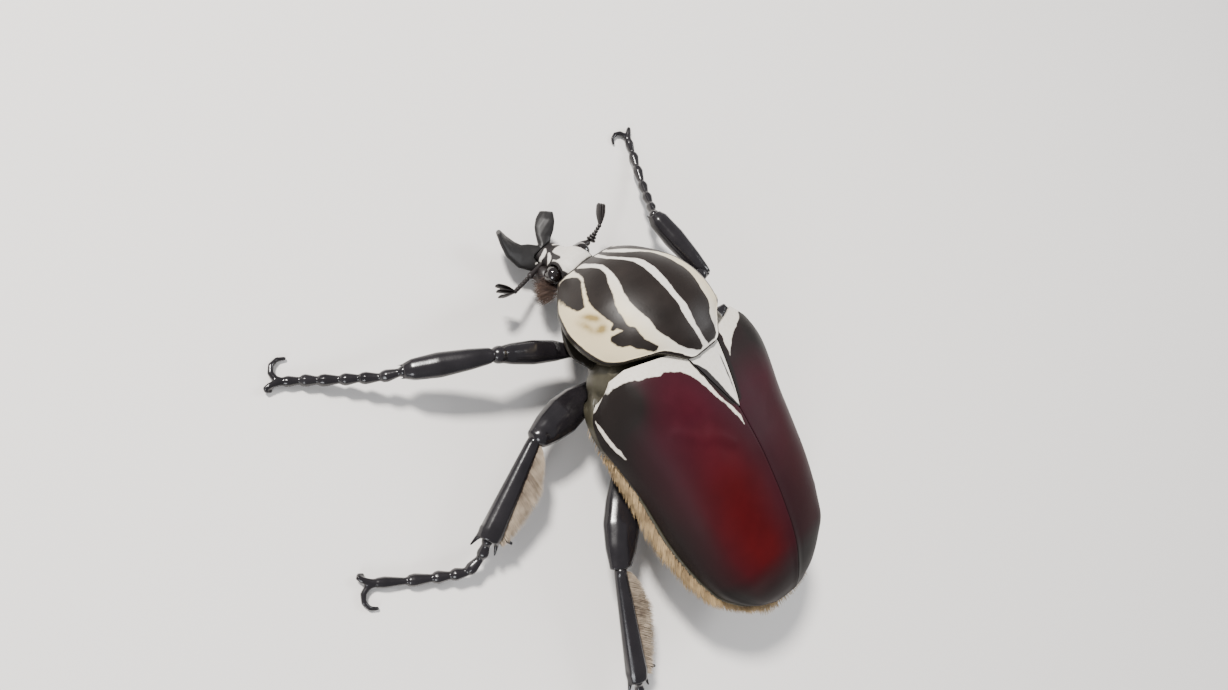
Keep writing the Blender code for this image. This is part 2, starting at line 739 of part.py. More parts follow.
def press_to_floor(obj):
    """Small flats where a foot stands: nothing reaches below z = 0."""
    for vert in obj.data.vertices:
        vert.co.z = max(vert.co.z, 0.0)
    return obj


def foot(name, leg, cut):
    points = [leg["ankle"]] + leg["foot"]
    path = [np.asarray(p, float) for p in points]
    path[0] = path[0] + unit(path[1] - path[0]) * GAP
    centres, radii = foot_rings(path)
    body = tube(name, centres, radii, "shell_black", 8)
    end = path[-1]
    along = unit((path[-1] - path[-2]) * (1, 1, 0))
    across = unit(np.cross(along, (0, 0, 1))) * leg["claw_side"]
    first = claw(end - along * 0.5, along, across, CLAW_REACH, 0.0)
    second = claw(end - along * 0.5, along, unit(along * 0.9 - across * 0.5), CLAW_REACH * 0.7, 0.5)
    body = boolean(body, [first, second], "UNION")
    return press_to_floor(body)


def lock(root, tip, flat, half_width):
    """A flat tapered lock of hair from its sunk root to its tip."""
    along = unit(tip - root)
    broad = unit(np.cross(flat, along))
    thin = unit(np.cross(along, broad))
    rings = []
    for t, size in ((0.0, 0.8), (0.45, 1.0), (1.0, 0.3)):
        centre = root + (tip - root) * t
        rings.append(section(centre, broad, thin, half_width * size, LOCK_THICK, 4, 1.0))
    return loft("lock", rings, "hair_tan")


def brush(leg, forward, side, up):
    """The comb of hair along the rear edge of a shin."""
    chance = random.Random(LOCK_SEED)
    start = np.array(leg["knee"])
    end = np.array(leg["ankle"])
    outer = side * leg["brush"]
    made = []
    for i in range(LOCK_COUNT):
        t = LOCK_FROM + (LOCK_TO - LOCK_FROM) * i / (LOCK_COUNT - 1)
        reach = LOCK_REACH * (0.35 + 0.65 * math.sin(math.pi * (0.12 + 0.78 * t)))
        reach *= chance.uniform(0.88, 1.12)
        root = start + (end - start) * t + outer * 0.7
        tip = root + outer * (reach + 1.1) + forward * LOCK_LEAN * reach
        tip = tip + up * chance.uniform(-0.25, 0.25)
        made.append(lock(root, tip, up, LOCK_HALF_WIDTH))
    return made


def spurs(leg, forward, side, up):
    end = np.array(leg["ankle"])
    made = []
    for sign in (-1, 1):
        root = end - forward * 1.2 + side * sign * 1.4
        tip = end + forward * 2.0 + side * sign * 2.3 - up * 0.3
        made.append(tube("spur", [root, (root + tip) / 2, tip], [0.6, 0.45, 0.25],
                         "shell_black", 6))
    return made


def build_leg(key, leg, body_parts):
    coxa, root, knee, ankle = (np.array(leg[k]) for k in ("coxa", "root", "knee", "ankle"))
    hip_cut = mitre(coxa, root, knee)
    knee_cut = mitre(root, knee, ankle)
    ankle_cut = unit(ankle - knee)
    thick = max(leg["femur"]) * 1.15
    hip = limb("coxa_" + key, coxa, root, (thick, thick), [(-0.4, 0.5), (-0.25, 0.9), (0.1, 1.15),
               (0.6, 1.0), (1.25, 0.72)], "shell_black", 12, None, hip_cut)
    carve(hip, body_parts)
    femur = limb("femur_" + key, root, knee, leg["femur"], FEMUR_SHAPE, "shell_black", 12,
                 hip_cut, knee_cut)
    carve(femur, body_parts)
    tibia = limb("tibia_" + key, knee, ankle, leg["tibia"], TIBIA_SHAPE, "shell_black", 12,
                 knee_cut, None)
    forward, side, up = frame_of(ankle - knee)
    extras = spurs(leg, forward, side, up)
    if leg["brush"]:
        extras += brush(leg, forward, side, up)
    boolean(tibia, extras, "UNION")
    made = foot("tarsus_" + key, leg, ankle_cut)
    carve(made, [tibia])


# Assembly


def centre_on_floor():
    """Moves all pieces so that the box's middle stands on the origin."""
    low = np.full(3, 1e9)
    high = -low
    for obj in bpy.data.objects:
        points = np.array([v.co[:] for v in obj.data.vertices])
        low = np.minimum(low, points.min(0))
        high = np.maximum(high, points.max(0))
    shift = np.array([-(low[0] + high[0]) / 2, -(low[1] + high[1]) / 2, -low[2]])
    for obj in bpy.data.objects:
        for vert in obj.data.vertices:
            vert.co.x += shift[0]
            vert.co.y += shift[1]
            vert.co.z += shift[2]
    print("shift mm", (shift / MM).round(3), "box mm", ((high - low) / MM).round(2))


def main():
    clear_scene()
    left = wing_case("elytron_left", -1)
    right = wing_case("elytron_right", 1)
    shield = scutellum()
    whole_pro = prothorax()
    for item in (left, right, shield):
        carve(item, [whole_pro])
    thorax = trunk("thorax", 0.0, TRUNK_SPLIT, 10, "body_olive", nose=0.13)
    carve(thorax, [whole_pro, shield])
    abdomen = trunk("abdomen", TRUNK_SPLIT + 1.2 * GAP / CASE_LENGTH, TRUNK_END, 18, "body_olive")
    tail = tail_plate()
    carve(tail, [abdomen, left, right])

    face = head()
    carve(face, [whole_pro])
    eyes = [eye("eye_left", -1), eye("eye_right", 1)]
    for item in eyes:
        carve(item, [whole_pro])
        carve(face, [item])
    snout = horn()
    carve(snout, [face])
    jaw = mouthparts()
    carve(jaw, [face])
    for key in ("left", "right"):
        carve(feeler("antenna_" + key, key), [face, jaw, snout] + eyes)

    low_half = whole_pro.data.copy()
    breast = bpy.data.objects.new("prosternum", low_half)
    bpy.context.scene.collection.objects.link(breast)
    level = pro_place([(0, 0, PRO_CUT_Z)])[0]
    normal = unit(pro_place([(0, 0, 1)])[0] - pro_place([(0, 0, 0)])[0])
    cut_flat(whole_pro, level + normal * GAP / 2, normal)
    cut_flat(breast, level - normal * GAP / 2, -normal)

    for key, leg in LEGS.items():
        body_parts = [whole_pro, breast, thorax, abdomen]
        build_leg(key, leg, body_parts)
    centre_on_floor()


main()
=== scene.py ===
# %% [markdown]
# # A male goliath beetle, a still model at life size
#
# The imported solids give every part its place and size; the cells below make the smooth
# shells, the legs, the markings and the hair. Shapes are in millimetres; `mm` makes metres.

# %% Load the solids
import math
import random
from collections import namedtuple

import bpy
import numpy as np
from mathutils import Matrix, Vector
from mathutils.bvhtree import BVHTree


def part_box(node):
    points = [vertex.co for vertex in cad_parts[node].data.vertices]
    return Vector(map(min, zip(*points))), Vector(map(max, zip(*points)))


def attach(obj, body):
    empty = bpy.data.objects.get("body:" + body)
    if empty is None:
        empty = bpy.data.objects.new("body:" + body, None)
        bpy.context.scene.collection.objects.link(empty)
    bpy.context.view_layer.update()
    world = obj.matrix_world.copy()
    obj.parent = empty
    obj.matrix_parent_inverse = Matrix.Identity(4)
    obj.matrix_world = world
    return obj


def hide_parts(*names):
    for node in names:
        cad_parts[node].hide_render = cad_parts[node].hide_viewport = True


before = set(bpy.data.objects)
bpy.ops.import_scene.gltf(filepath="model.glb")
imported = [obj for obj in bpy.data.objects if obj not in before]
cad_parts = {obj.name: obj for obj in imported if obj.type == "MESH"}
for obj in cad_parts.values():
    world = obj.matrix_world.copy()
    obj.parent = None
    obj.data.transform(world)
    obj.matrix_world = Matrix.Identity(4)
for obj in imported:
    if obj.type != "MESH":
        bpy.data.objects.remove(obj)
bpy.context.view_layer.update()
MM = 0.001
# The beetle's own measures start on the floor below the scutellum, at this place.
ORIGIN = np.array([15.918, 2.584, 0.0])


def mm(points):
    """From the beetle's own millimetres to metres in the scene."""
    return (np.asarray(points, float) + ORIGIN) * MM


def own(points):
    """From metres in the scene to the beetle's own millimetres."""
    return np.asarray(points, float) / MM - ORIGIN


# %% [markdown]
# ## Floor, light and camera
#
# The animal stands on a plain pale table. A soft lamp from ahead and above gives the main
# light, two weak ones and a pale sky fill the shadows, and the camera looks down on its left.

# %% Floor
def settle(node, values):
    """Sets some of a node's inputs by name."""
    for label, value in values.items():
        node.inputs[label].default_value = value


def new_object(name, data):
    obj = bpy.data.objects.new(name, data)
    bpy.context.scene.collection.objects.link(obj)
    return obj


def plain_material(name, values):
    made = bpy.data.materials.new(name)
    made.use_nodes = True
    shader = made.node_tree.nodes["Principled BSDF"]
    settle(shader, values)
    return made, made.node_tree, shader


bpy.ops.mesh.primitive_plane_add(size=3.0, location=(0, 0, -0.00002))
table = bpy.context.object
table.name = "table_top"
bpy.ops.object.transform_apply(location=True, rotation=True, scale=True)
pale_table = plain_material("pale_table", {"Base Color": (0.83, 0.80, 0.77, 1.0), "Roughness": 0.7})
table.data.materials.append(pale_table[0])

# %% Lights
LAMP_TARGET = (0, 0, 0.01)
SKY_STRENGTH = 0.42


def lamp(name, place, size, power, colour):
    data = bpy.data.lights.new(name, "AREA")
    data.shape = "DISK"
    data.size = size
    data.energy = power
    data.color = colour
    obj = new_object(name, data)
    obj.location = place
    way = Vector(LAMP_TARGET) - Vector(place)
    obj.rotation_euler = way.to_track_quat("-Z", "Y").to_euler()


lamp("key_lamp", (-0.22, 0.66, 0.75), 0.16, 23.0, (1.0, 0.97, 0.93))
lamp("side_lamp", (-0.75, -0.35, 0.45), 0.35, 4.0, (0.94, 0.97, 1.0))
lamp("back_lamp", (0.65, -0.10, 0.55), 0.35, 3.0, (0.96, 0.98, 1.0))
sky = bpy.data.worlds.new("pale_sky")
bpy.context.scene.world = sky
sky.use_nodes = True
settle(sky.node_tree.nodes["Background"], {"Color": (0.93, 0.95, 1.0, 1.0), "Strength": SKY_STRENGTH})

# %% Camera
CAMERA_PLACE = (-99.06, 19.49, 147.57)
CAMERA_RIGHT = (0.71268, -0.48365, 0.50810)
CAMERA_UP = (0.41071, 0.87489, 0.25670)
CAMERA_BACK = (-0.56869, 0.02573, 0.82215)
LENS_LENGTH, SENSOR_WIDTH = 23.45, 36.0
lens = bpy.data.cameras.new("camera")
lens.lens = LENS_LENGTH
lens.sensor_width = SENSOR_WIDTH
lens.clip_start = 0.005
camera = new_object("camera", lens)
turned = Matrix((CAMERA_RIGHT, CAMERA_UP, CAMERA_BACK)).transposed().to_4x4()
camera.matrix_world = Matrix.Translation(mm(CAMERA_PLACE)) @ turned
bpy.context.scene.camera = camera
print("camera", [round(v, 4) for v in camera.location])

# %% [markdown]
# ## Helpers for shapes
#
# The hard shells are curved sheets. Each starts as a grid or a ball, and its points are
# moved to where a few named measures put them, so the shell lies where its solid lies.

# %% Curves through named measures
PLATE_THICKNESS = 0.9
MERGE_DISTANCE = 0.004


def curve(knots, values, t):
    """Cubic curve through a few set values, without overshoot."""
    k = np.asarray(knots, float)
    v = np.asarray(values, float)
    t = np.clip(np.asarray(t, float), k[0], k[-1])
    step = np.diff(k)
    slope = np.diff(v) / step
    tangent = np.concatenate([[slope[0]], np.zeros(len(k) - 2), [slope[-1]]])
    product = slope[:-1] * slope[1:]
    total = slope[:-1] + slope[1:]
    total[product <= 0] = 1.0
    tangent[1:-1] = np.where(product > 0, 2 * product / total, 0.0)
    i = np.clip(np.searchsorted(k, t, side="right") - 1, 0, len(k) - 2)
    u = (t - k[i]) / step[i]
    return ((1 + 2 * u) * (1 - u) ** 2 * v[i] + u * (1 - u) ** 2 * step[i] * tangent[i]
            + u * u * (3 - 2 * u) * v[i + 1] + u * u * (u - 1) * step[i] * tangent[i + 1])


def ramp(values, start, width):
    """Rises from 0 at start to 1 at start + width."""
    return np.clip((values - start) / width, 0, 1)


def bend(angle, roundness):
    """Sideways and upward shares of a rounded section at an angle from straight up."""
    power = 2.0 / roundness
    side = np.sign(np.sin(angle)) * np.abs(np.sin(angle)) ** power
    return side, np.abs(np.cos(angle)) ** power


def hill(x, y, where, wide, long, turn=0.0):
    """A smooth bump of height one about a place, wide and long in millimetres."""
    c, s = math.cos(math.radians(turn)), math.sin(math.radians(turn))
    dx, dy = x - where[0], y - where[1]
    return np.exp(-((dx * c + dy * s) / wide) ** 2 - ((dy * c - dx * s) / long) ** 2)


def hills(x, y, bumps, start=0.0):
    """Sum of smooth bumps, each a height and what hill() takes, on top of a start."""
    return sum((height * hill(x, y, *rest) for height, *rest in bumps), start)


def just_added(name):
    """Names the primitive that was added last; gives it and its raw points."""
    obj = bpy.context.object
    obj.name = name
    return obj, get_points(obj)


def set_points(obj, points):
    """Moves an object's points to places in own millimetres."""
    obj.data.vertices.foreach_set("co", mm(points).ravel())
    obj.data.update()


def get_points(obj):
    flat = np.zeros(len(obj.data.vertices) * 3)
    obj.data.vertices.foreach_get("co", flat)
    return flat.reshape(-1, 3)


def select_only(*objects):
    """Selects these objects alone; the first is the active one."""
    bpy.ops.object.select_all(action="DESELECT")
    for obj in objects:
        obj.select_set(True)
    bpy.context.view_layer.objects.active = objects[0]


def clean_mesh(obj, merge=0.0, outward=False, flip=False):
    """Merges points closer than this many millimetres, and turns faces outward or over."""
    select_only(obj)
    bpy.ops.object.mode_set(mode="EDIT")
    bpy.ops.mesh.select_all(action="SELECT")
    if merge:
        bpy.ops.mesh.remove_doubles(threshold=merge * MM)
    if outward:
        bpy.ops.mesh.normals_make_consistent(inside=False)
    if flip:
        bpy.ops.mesh.flip_normals()
    bpy.ops.object.mode_set(mode="OBJECT")


def join_pieces(name, pieces):
    select_only(*pieces)
    if len(pieces) > 1:
        bpy.ops.object.join()
    pieces[0].name = name
    pieces[0].data.name = name
    return pieces[0]


def apply_modifiers(obj):
    select_only(obj)
    for item in list(obj.modifiers):
        bpy.ops.object.modifier_apply(modifier=item.name)


def thicken(obj):
    """Gives a sheet the thickness of a shell plate, on its inner side."""
    thick = obj.modifiers.new("thickness", "SOLIDIFY")
    thick.thickness = PLATE_THICKNESS * MM
    thick.offset = -1.0


def smooth_shade(obj, angle=180.0):
    select_only(obj)
    if angle < 180:
        bpy.ops.object.shade_smooth_by_angle(angle=math.radians(angle))
    else:
        bpy.ops.object.shade_smooth()


def finish_piece(obj, material, slot, *nodes):
    """Gives a piece its material and its body and hides the solids it stands for; slot is not used."""
    obj.data.materials.append(material)
    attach(obj, "root")
    if nodes:
        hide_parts(*nodes)
    tris = sum(len(p.vertices) - 2 for p in obj.data.polygons)
    print(f"{obj.name:24s} {tris:7d} triangles")

# %% [markdown]
# ## Helpers for markings
#
# The white and black fields have crisp, slightly ragged borders. Each field is an outline in
# millimetres; every point of the shell stores its distance to it and the material cuts there.

# %% Distances to outlines
FAR = 1e9


def to_segment(x, y, a, b):
    """Distance to the line from a to b, and the share of its length where it is nearest."""
    ex, ey = b[0] - a[0], b[1] - a[1]
    t = np.clip(((x - a[0]) * ex + (y - a[1]) * ey) / (ex * ex + ey * ey), 0, 1)
    return np.hypot(x - a[0] - t * ex, y - a[1] - t * ey), t


def outline_distance(x, y, outline):
    """Distance to a closed outline, negative inside."""
    best = np.full(len(x), FAR)
    inside = np.zeros(len(x), bool)
    for a, b in zip(outline, outline[1:] + outline[:1]):
        best = np.minimum(best, to_segment(x, y, a, b)[0])
        if a[1] != b[1]:
            crosses = (a[1] > y) != (b[1] > y)
            inside ^= crosses & (x < a[0] + (y - a[1]) * (b[0] - a[0]) / (b[1] - a[1]))
    return np.where(inside, -best, best)


def stripe_distance(x, y, stations):
    """Distance to a stripe given as (x, y, half width) along its middle."""
    best = np.full(len(x), FAR)
    for a, b in zip(stations, stations[1:]):
        gap, t = to_segment(x, y, a, b)
        best = np.minimum(best, gap - (a[2] + (b[2] - a[2]) * t))
    return best


def store(obj, name, values):
    layer = obj.data.attributes.get(name) or obj.data.attributes.new(name, "FLOAT", "POINT")
    layer.data.foreach_set("value", np.asarray(values, np.float32))

# %% [markdown]
# ## Helpers for finishes
#
# Beetle shell has fine pits, scuffed places and slow changes of tone. These effects are node
# groups that are built once and used by each finish with its own values.

# %% Node group tools
def new_group(name, inputs, outputs):
    """A node group; the socket named Vector takes a place, every other one a number."""
    group = bpy.data.node_groups.new(name, "ShaderNodeTree")
    for side, labels in (("INPUT", inputs), ("OUTPUT", outputs)):
        for label in labels:
            kind = "NodeSocketVector" if label == "Vector" else "NodeSocketFloat"
            group.interface.new_socket(label, in_out=side, socket_type=kind)
    return group, group.nodes.new("NodeGroupInput"), group.nodes.new("NodeGroupOutput")


def join(tree, *pairs):
    for a, b in pairs:
        tree.links.new(a, b)


def feed(tree, node, values):
    """Sets inputs, by their index, to a number or a colour, or links them to an output."""
    for index, value in values.items():
        if isinstance(value, tuple):
            node.inputs[index].default_value = (*value, 1.0)
        elif isinstance(value, (int, float)):
            node.inputs[index].default_value = value
        else:
            tree.links.new(value, node.inputs[index])


def maths(tree, how, *values, clamp=False):
    node = tree.nodes.new("ShaderNodeMath")
    node.operation = how
    node.use_clamp = clamp
    feed(tree, node, dict(enumerate(values)))
    return node.outputs[0]


def blend(tree, amount, a, b):
    node = tree.nodes.new("ShaderNodeMix")
    node.data_type = "RGBA"
    feed(tree, node, {0: amount, 6: a, 7: b})
    return node.outputs[2]


def noise(tree, coords, scale, detail=3.0, rough=0.55):
    node = tree.nodes.new("ShaderNodeTexNoise")
    settle(node, {"Scale": scale, "Detail": detail, "Roughness": rough})
    tree.links.new(coords, node.inputs["Vector"])
    return node.outputs["Fac"]


def stored(tree, attribute):
    reader = tree.nodes.new("ShaderNodeAttribute")
    reader.attribute_name = attribute
    return reader.outputs["Fac"]

# %% Pitted shell: a height field and a wear mask
def build_pits():
    group, ins, outs = new_group(
        "shell_pits", ("Vector", "Pits per metre", "Waves per metre"), ("Height", "Wear"))
    cells = group.nodes.new("ShaderNodeTexVoronoi")
    join(group, (ins.outputs[0], cells.inputs["Vector"]), (ins.outputs[1], cells.inputs["Scale"]))
    pit = maths(group, "SMOOTH_MIN", cells.outputs["Distance"], 0.42, 0.2)
    wave = group.nodes.new("ShaderNodeTexNoise")
    settle(wave, {"Detail": 4.0})
    join(group, (ins.outputs[0], wave.inputs["Vector"]), (ins.outputs[2], wave.inputs["Scale"]))
    height = maths(group, "ADD", maths(group, "MULTIPLY", pit, 0.5), wave.outputs["Fac"])
    join(group, (height, outs.inputs[0]), (wave.outputs["Fac"], outs.inputs[1]))
    return group


def build_border():
    """Turns a stored distance into a crisp mask, 1 inside, with ragged edges."""
    group, ins, outs = new_group(
        "ragged_border", ("Vector", "Distance", "Ragged", "Blur"), ("Inside",))
    coarse = group.nodes.new("ShaderNodeTexNoise")
    settle(coarse, {"Scale": 900.0, "Detail": 4.0})
    join(group, (ins.outputs[0], coarse.inputs["Vector"]))
    shift = maths(group, "MULTIPLY", maths(group, "SUBTRACT", coarse.outputs["Fac"], 0.5),
                  ins.outputs[2])
    moved = maths(group, "ADD", ins.outputs[1], shift)
    share = maths(group, "DIVIDE", moved, ins.outputs[3])
    inside = maths(group, "SUBTRACT", 0.5, share, clamp=True)
    join(group, (inside, outs.inputs[0]))
    return group


PITS = build_pits()
BORDER = build_border()


def start_material(name, roughness, bump_depth, pits, waves, shine):
    """A material with pits and a bump; pits and waves are per metre."""
    made, tree, shader = plain_material(name, {"Specular IOR Level": shine})
    place = tree.nodes.new("ShaderNodeTexCoord").outputs["Object"]
    skin = tree.nodes.new("ShaderNodeGroup")
    skin.node_tree = PITS
    settle(skin, {"Pits per metre": pits, "Waves per metre": waves})
    tree.links.new(place, skin.inputs["Vector"])
    bump = tree.nodes.new("ShaderNodeBump")
    settle(bump, {"Strength": 1.0, "Distance": bump_depth * MM})
    join(tree, (skin.outputs["Height"], bump.inputs["Height"]),
         (bump.outputs["Normal"], shader.inputs["Normal"]))
    wear = skin.outputs["Wear"]
    rough = maths(tree, "MULTIPLY_ADD", wear, 0.25, roughness - 0.125)
    tree.links.new(rough, shader.inputs["Roughness"])
    return made, tree, place, wear


def coloured(made, tone, values=None):
    """Joins a colour to a material's shader, sets other inputs and gives the material back."""
    shader = made.node_tree.nodes["Principled BSDF"]
    made.node_tree.links.new(tone, shader.inputs["Base Color"])
    settle(shader, values or {})
    return made


def bordered(tree, place, attribute, ragged, blur):
    """The mask of a stored field; ragged and blur are widths in millimetres."""
    group = tree.nodes.new("ShaderNodeGroup")
    group.node_tree = BORDER
    settle(group, {"Ragged": ragged, "Blur": blur})
    join(tree, (place, group.inputs["Vector"]), (stored(tree, attribute), group.inputs["Distance"]))
    return group.outputs["Inside"]

# %% [markdown]
# ## Glossy black legs and other plain shell
#
# Legs, feet and feelers are rods of hard, polished black shell. The legs' solids have the
# right places but flat facets, so each is copied, rebuilt as an even fine mesh and smoothed.

# %% Copies of solids, merged and made even
def copy_solids(name, nodes):
    """One merged mesh from the meshes of some solids."""
    copies = []
    for node in nodes:
        made = new_object(name + "_" + node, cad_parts[node].data.copy())
        made.data.materials.clear()
        copies.append(made)
    obj = join_pieces(name, copies)
    clean_mesh(obj, merge=0.01)
    return obj


def add_ball(obj, centre, radius, stretch=(1, 1, 1)):
    """Joins a ball to a piece, such as one that rounds off a joint."""
    bpy.ops.mesh.primitive_ico_sphere_add(subdivisions=3, radius=radius * MM, location=mm(centre))
    ball = bpy.context.object
    ball.scale = stretch
    bpy.ops.object.transform_apply(location=True, rotation=True, scale=True)
    join_pieces(obj.name, [obj, ball])


def even_out(obj, voxel, rounds, swell=0.0, shrink=0.0):
    """Rebuilds a piece as one fine skin and softens it; swell and shrink fill thin waists."""
    for distance in [0.0] + [d for d in (swell, -shrink) if d]:
        if distance:
            push = obj.modifiers.new("push", "DISPLACE")
            push.strength = distance * MM
            push.mid_level = 0.0
        remesh = obj.modifiers.new("even", "REMESH")
        remesh.mode = "VOXEL"
        remesh.voxel_size = voxel * MM
    soften = obj.modifiers.new("soften", "SMOOTH")
    soften.factor = 0.5
    soften.iterations = rounds
    apply_modifiers(obj)
    smooth_shade(obj)
    return obj


def smoothed_copy(name, node, voxel, rounds, swell):
    return even_out(copy_solids(name, [node]), voxel, rounds, swell)

# %% Finish: polished black
def black_shell(name, colour, roughness, bump, coat):
    made, tree, _, wear = start_material(name, roughness, bump, 1900.0, 260.0, 0.4)
    tone = blend(tree, wear, colour, tuple(c * 2.0 + 0.004 for c in colour))
    return coloured(made, tone, {"Coat Weight": coat, "Coat Roughness": 0.1})


LEG_BLACK = black_shell("polished_black", (0.006, 0.005, 0.006), 0.22, 0.02, 0.15)
FEELER_BLACK = black_shell("feeler_black", (0.007, 0.005, 0.005), 0.42, 0.02, 0.0)

# %% Legs: joints, side of the brush, stoutness of thigh and shin
Leg = namedtuple("Leg", "hip knee ankle brush thigh_stout shin_stout")
LEGS = {
    "front_left": Leg((-11.5, 18.2, 8.6), (-30.7, 25.0, 12.0), (-45.5, 30.1, 7.0), 0, 1.10, 1.24),
    "front_right": Leg((9.5, 18.6, 8.6), (27.3, 19.4, 11.0), (24.9, 36.6, 8.0), 0, 1.05, 1.48),
    "middle_left": Leg((-12.5, 9.6, 8.0), (-30.6, 7.0, 10.0), (-47.0, -4.5, 6.0), -1, 1.34, 1.14),
    "middle_right": Leg((12.5, 7.5, 8.0), (27.5, 9.5, 10.5), (31.5, -9.0, 5.5), 1, 0.92, 1.0),
    "hind_left": Leg((-16.0, -8.8, 7.8), (-28.2, -23.1, 10.0), (-34.4, -43.6, 6.0), -1, 1.0, 1.08),
    "hind_right": Leg((14.9, -9.4, 7.8), (27.5, -20.5, 10.0), (28.5, -38.5, 5.0), 1, 1.0, 1.08),
}


def unit(v):
    v = np.asarray(v, float)
    return v / np.linalg.norm(v)


def bar_frame(start, end):
    """Forward, side and up of a straight limb."""
    forward = unit(np.array(end) - np.array(start))
    side = unit(np.cross(forward, (0, 0, 1)))
    return forward, side, np.cross(side, forward)


def taper(obj, start, end, stations, factors):
    """Scales a limb's thickness along the line from start to end, in millimetres from start."""
    start = np.array(start)
    way = unit(np.array(end) - start)
    points = own(get_points(obj))
    along = (points - start) @ way
    axis = start + np.outer(along, way)
    factor = np.interp(along, stations, factors)[:, None]
    set_points(obj, axis + (points - axis) * factor)


# %% Hips, thighs and feet
THIGH_AT = [-1, 0, 1.5, 4, 8, 12, 18]
THIGH_SHARES = [0.80, 0.84, 0.92, 1.04, 1.1, 1.05]
KNEE_BALL, KNEE_INSET, ANKLE_BALL = 1.66, 1.4, 0.95

for key, leg in LEGS.items():
    hip_piece = smoothed_copy(f"coxa_{key}_shell", f"coxa_{key}", voxel=0.28, rounds=10, swell=0.05)
    thigh = copy_solids(f"femur_{key}_shell", [f"femur_{key}"])
    taper(thigh, leg.knee, leg.hip, THIGH_AT, [share * leg.thigh_stout for share in THIGH_SHARES] + [1.0])
    inward = unit(np.array(leg.hip) - np.array(leg.knee))
    add_ball(thigh, np.array(leg.knee) + inward * KNEE_INSET, KNEE_BALL * leg.thigh_stout)
    even_out(thigh, voxel=0.24, rounds=22)
    foot = copy_solids(f"tarsus_{key}_shell", [f"tarsus_{key}"])
    add_ball(foot, np.array(leg.ankle), ANKLE_BALL)
    even_out(foot, voxel=0.14, rounds=4, swell=0.36, shrink=0.22)
    for piece, node in ((hip_piece, "coxa"), (thigh, "femur"), (foot, "tarsus")):
        finish_piece(piece, LEG_BLACK, "glossy_black", f"{node}_{key}")

# %% Rods and leaves
def drawn_out(name, path, radii, flat=1.0, flat_way=(0, 0, 1), segments=20, rings=40):
    """A ball drawn out along a path, with set radii and a flattened section."""
    bpy.ops.mesh.primitive_uv_sphere_add(segments=segments, ring_count=rings, radius=1.0)
    obj, raw = just_added(name)
    t = np.arccos(np.clip(raw[:, 2], -1, 1)) / math.pi
    path = np.asarray(path, float)
    knots = np.linspace(0, 1, len(path))

    def place(share):
        return np.stack([curve(knots, path[:, k], share) for k in range(3)], 1)

    way = place(t + 0.01) - place(t - 0.01)
    way /= np.linalg.norm(way, axis=1)[:, None]
    across = np.cross(way, np.asarray(flat_way, float))
    across /= np.linalg.norm(across, axis=1)[:, None]
    rise = np.cross(across, way)
    angle = np.arctan2(raw[:, 1], raw[:, 0])
    cap = np.sqrt(ramp(np.minimum(t, 1 - t) * rings, 0, 3.0))
    radius = curve(np.linspace(0, 1, len(radii)), radii, t) * cap
    points = place(t) + across * (np.cos(angle) * radius)[:, None]
    points = points + rise * (np.sin(angle) * radius * flat)[:, None]
    set_points(obj, points)
    clean_mesh(obj, merge=MERGE_DISTANCE, outward=True)
    smooth_shade(obj)
    return obj


# %% Feelers: a stalk, small beads and three leaves
Feeler = namedtuple("Feeler", "start elbow end tip spread stalk beads")
FEELERS = {
    "left": Feeler((-5.6, 38.0, 5.6), (-11.6, 36.0, 5.6), (-17.0, 34.4, 7.0), (-21.0, 36.1, 8.0),
                   13.0, (0.42, 0.45, 0.72), (1, 1, 1, 1, 1, 1)),
    "right": Feeler((0.0, 37.2, 6.6), (5.6, 37.3, 7.4), (9.0, 39.5, 9.0), (11.0, 43.5, 10.5),
                    4.5, (0.60, 1.00, 0.55), (2.25, 1.75, 1.25, 1, 1, 1)),
}
BEAD_SIZES, BEAD_OVERLAP = (0.34, 0.48, 0.44), 1.15
LEAF_SIZES, LEAF_FLATNESS, LEAF_GAP, LEAF_ROOT = (0.40, 0.85, 0.72), 0.30, 0.30, 0.3

for side, feeler in FEELERS.items():
    start, elbow, end, tip = map(np.array, feeler[:4])
    parts = [drawn_out("stalk", [start, (start + elbow) / 2, elbow], feeler.stalk)]
    for n, stout in enumerate(feeler.beads):
        count = len(feeler.beads)
        a = elbow + (end - elbow) * n / count
        b = elbow + (end - elbow) * (n + BEAD_OVERLAP) / count
        sizes = [size * stout for size in BEAD_SIZES]
        parts.append(drawn_out("bead", [a, (a + b) / 2, b], sizes, segments=14, rings=14))
    way = tip - end
    out = unit(np.cross(way, (0.2, 0.1, 1.0)))
    for n in (-1, 0, 1):
        swing = math.radians(feeler.spread * n)
        leaf_tip = end + way * math.cos(swing) + out * np.linalg.norm(way) * math.sin(swing)
        shift = out * LEAF_GAP * n
        middle = (end + leaf_tip) / 2 + shift * 1.3
        parts.append(drawn_out("leaf", [end - unit(way) * LEAF_ROOT, middle, leaf_tip + shift],
                               LEAF_SIZES, LEAF_FLATNESS, out, segments=20, rings=30))
    piece = join_pieces(f"feeler_{side}", parts)
    finish_piece(piece, FEELER_BLACK, "glossy_black", f"antenna_{side}")

# %% Jaws, with the pad that carries the throat's hair; the pad is partly the real underside of the head and partly painted shade under it
THROAT_PAD, THROAT_SIZE = (-7.6, 34.0, 5.4), (2.3, 3.2, 2.2)
jaws = copy_solids("jaw_block", ["mouthparts"])
# The pad is made large to fill the dark place under the head: partly its real underside, partly painted
# shade.
add_ball(jaws, THROAT_PAD, 1.0, THROAT_SIZE)
even_out(jaws, voxel=0.16, rounds=10)
finish_piece(jaws, FEELER_BLACK, "glossy_black", "mouthparts")

# %% [markdown]
# ## Shins with their comb of hair
#
# The shin is a black bar, and the middle and hind pairs carry a tan brush along the rear
# edge. Its solid has a few flat locks; here it is many fine tapered hairs, each closed.

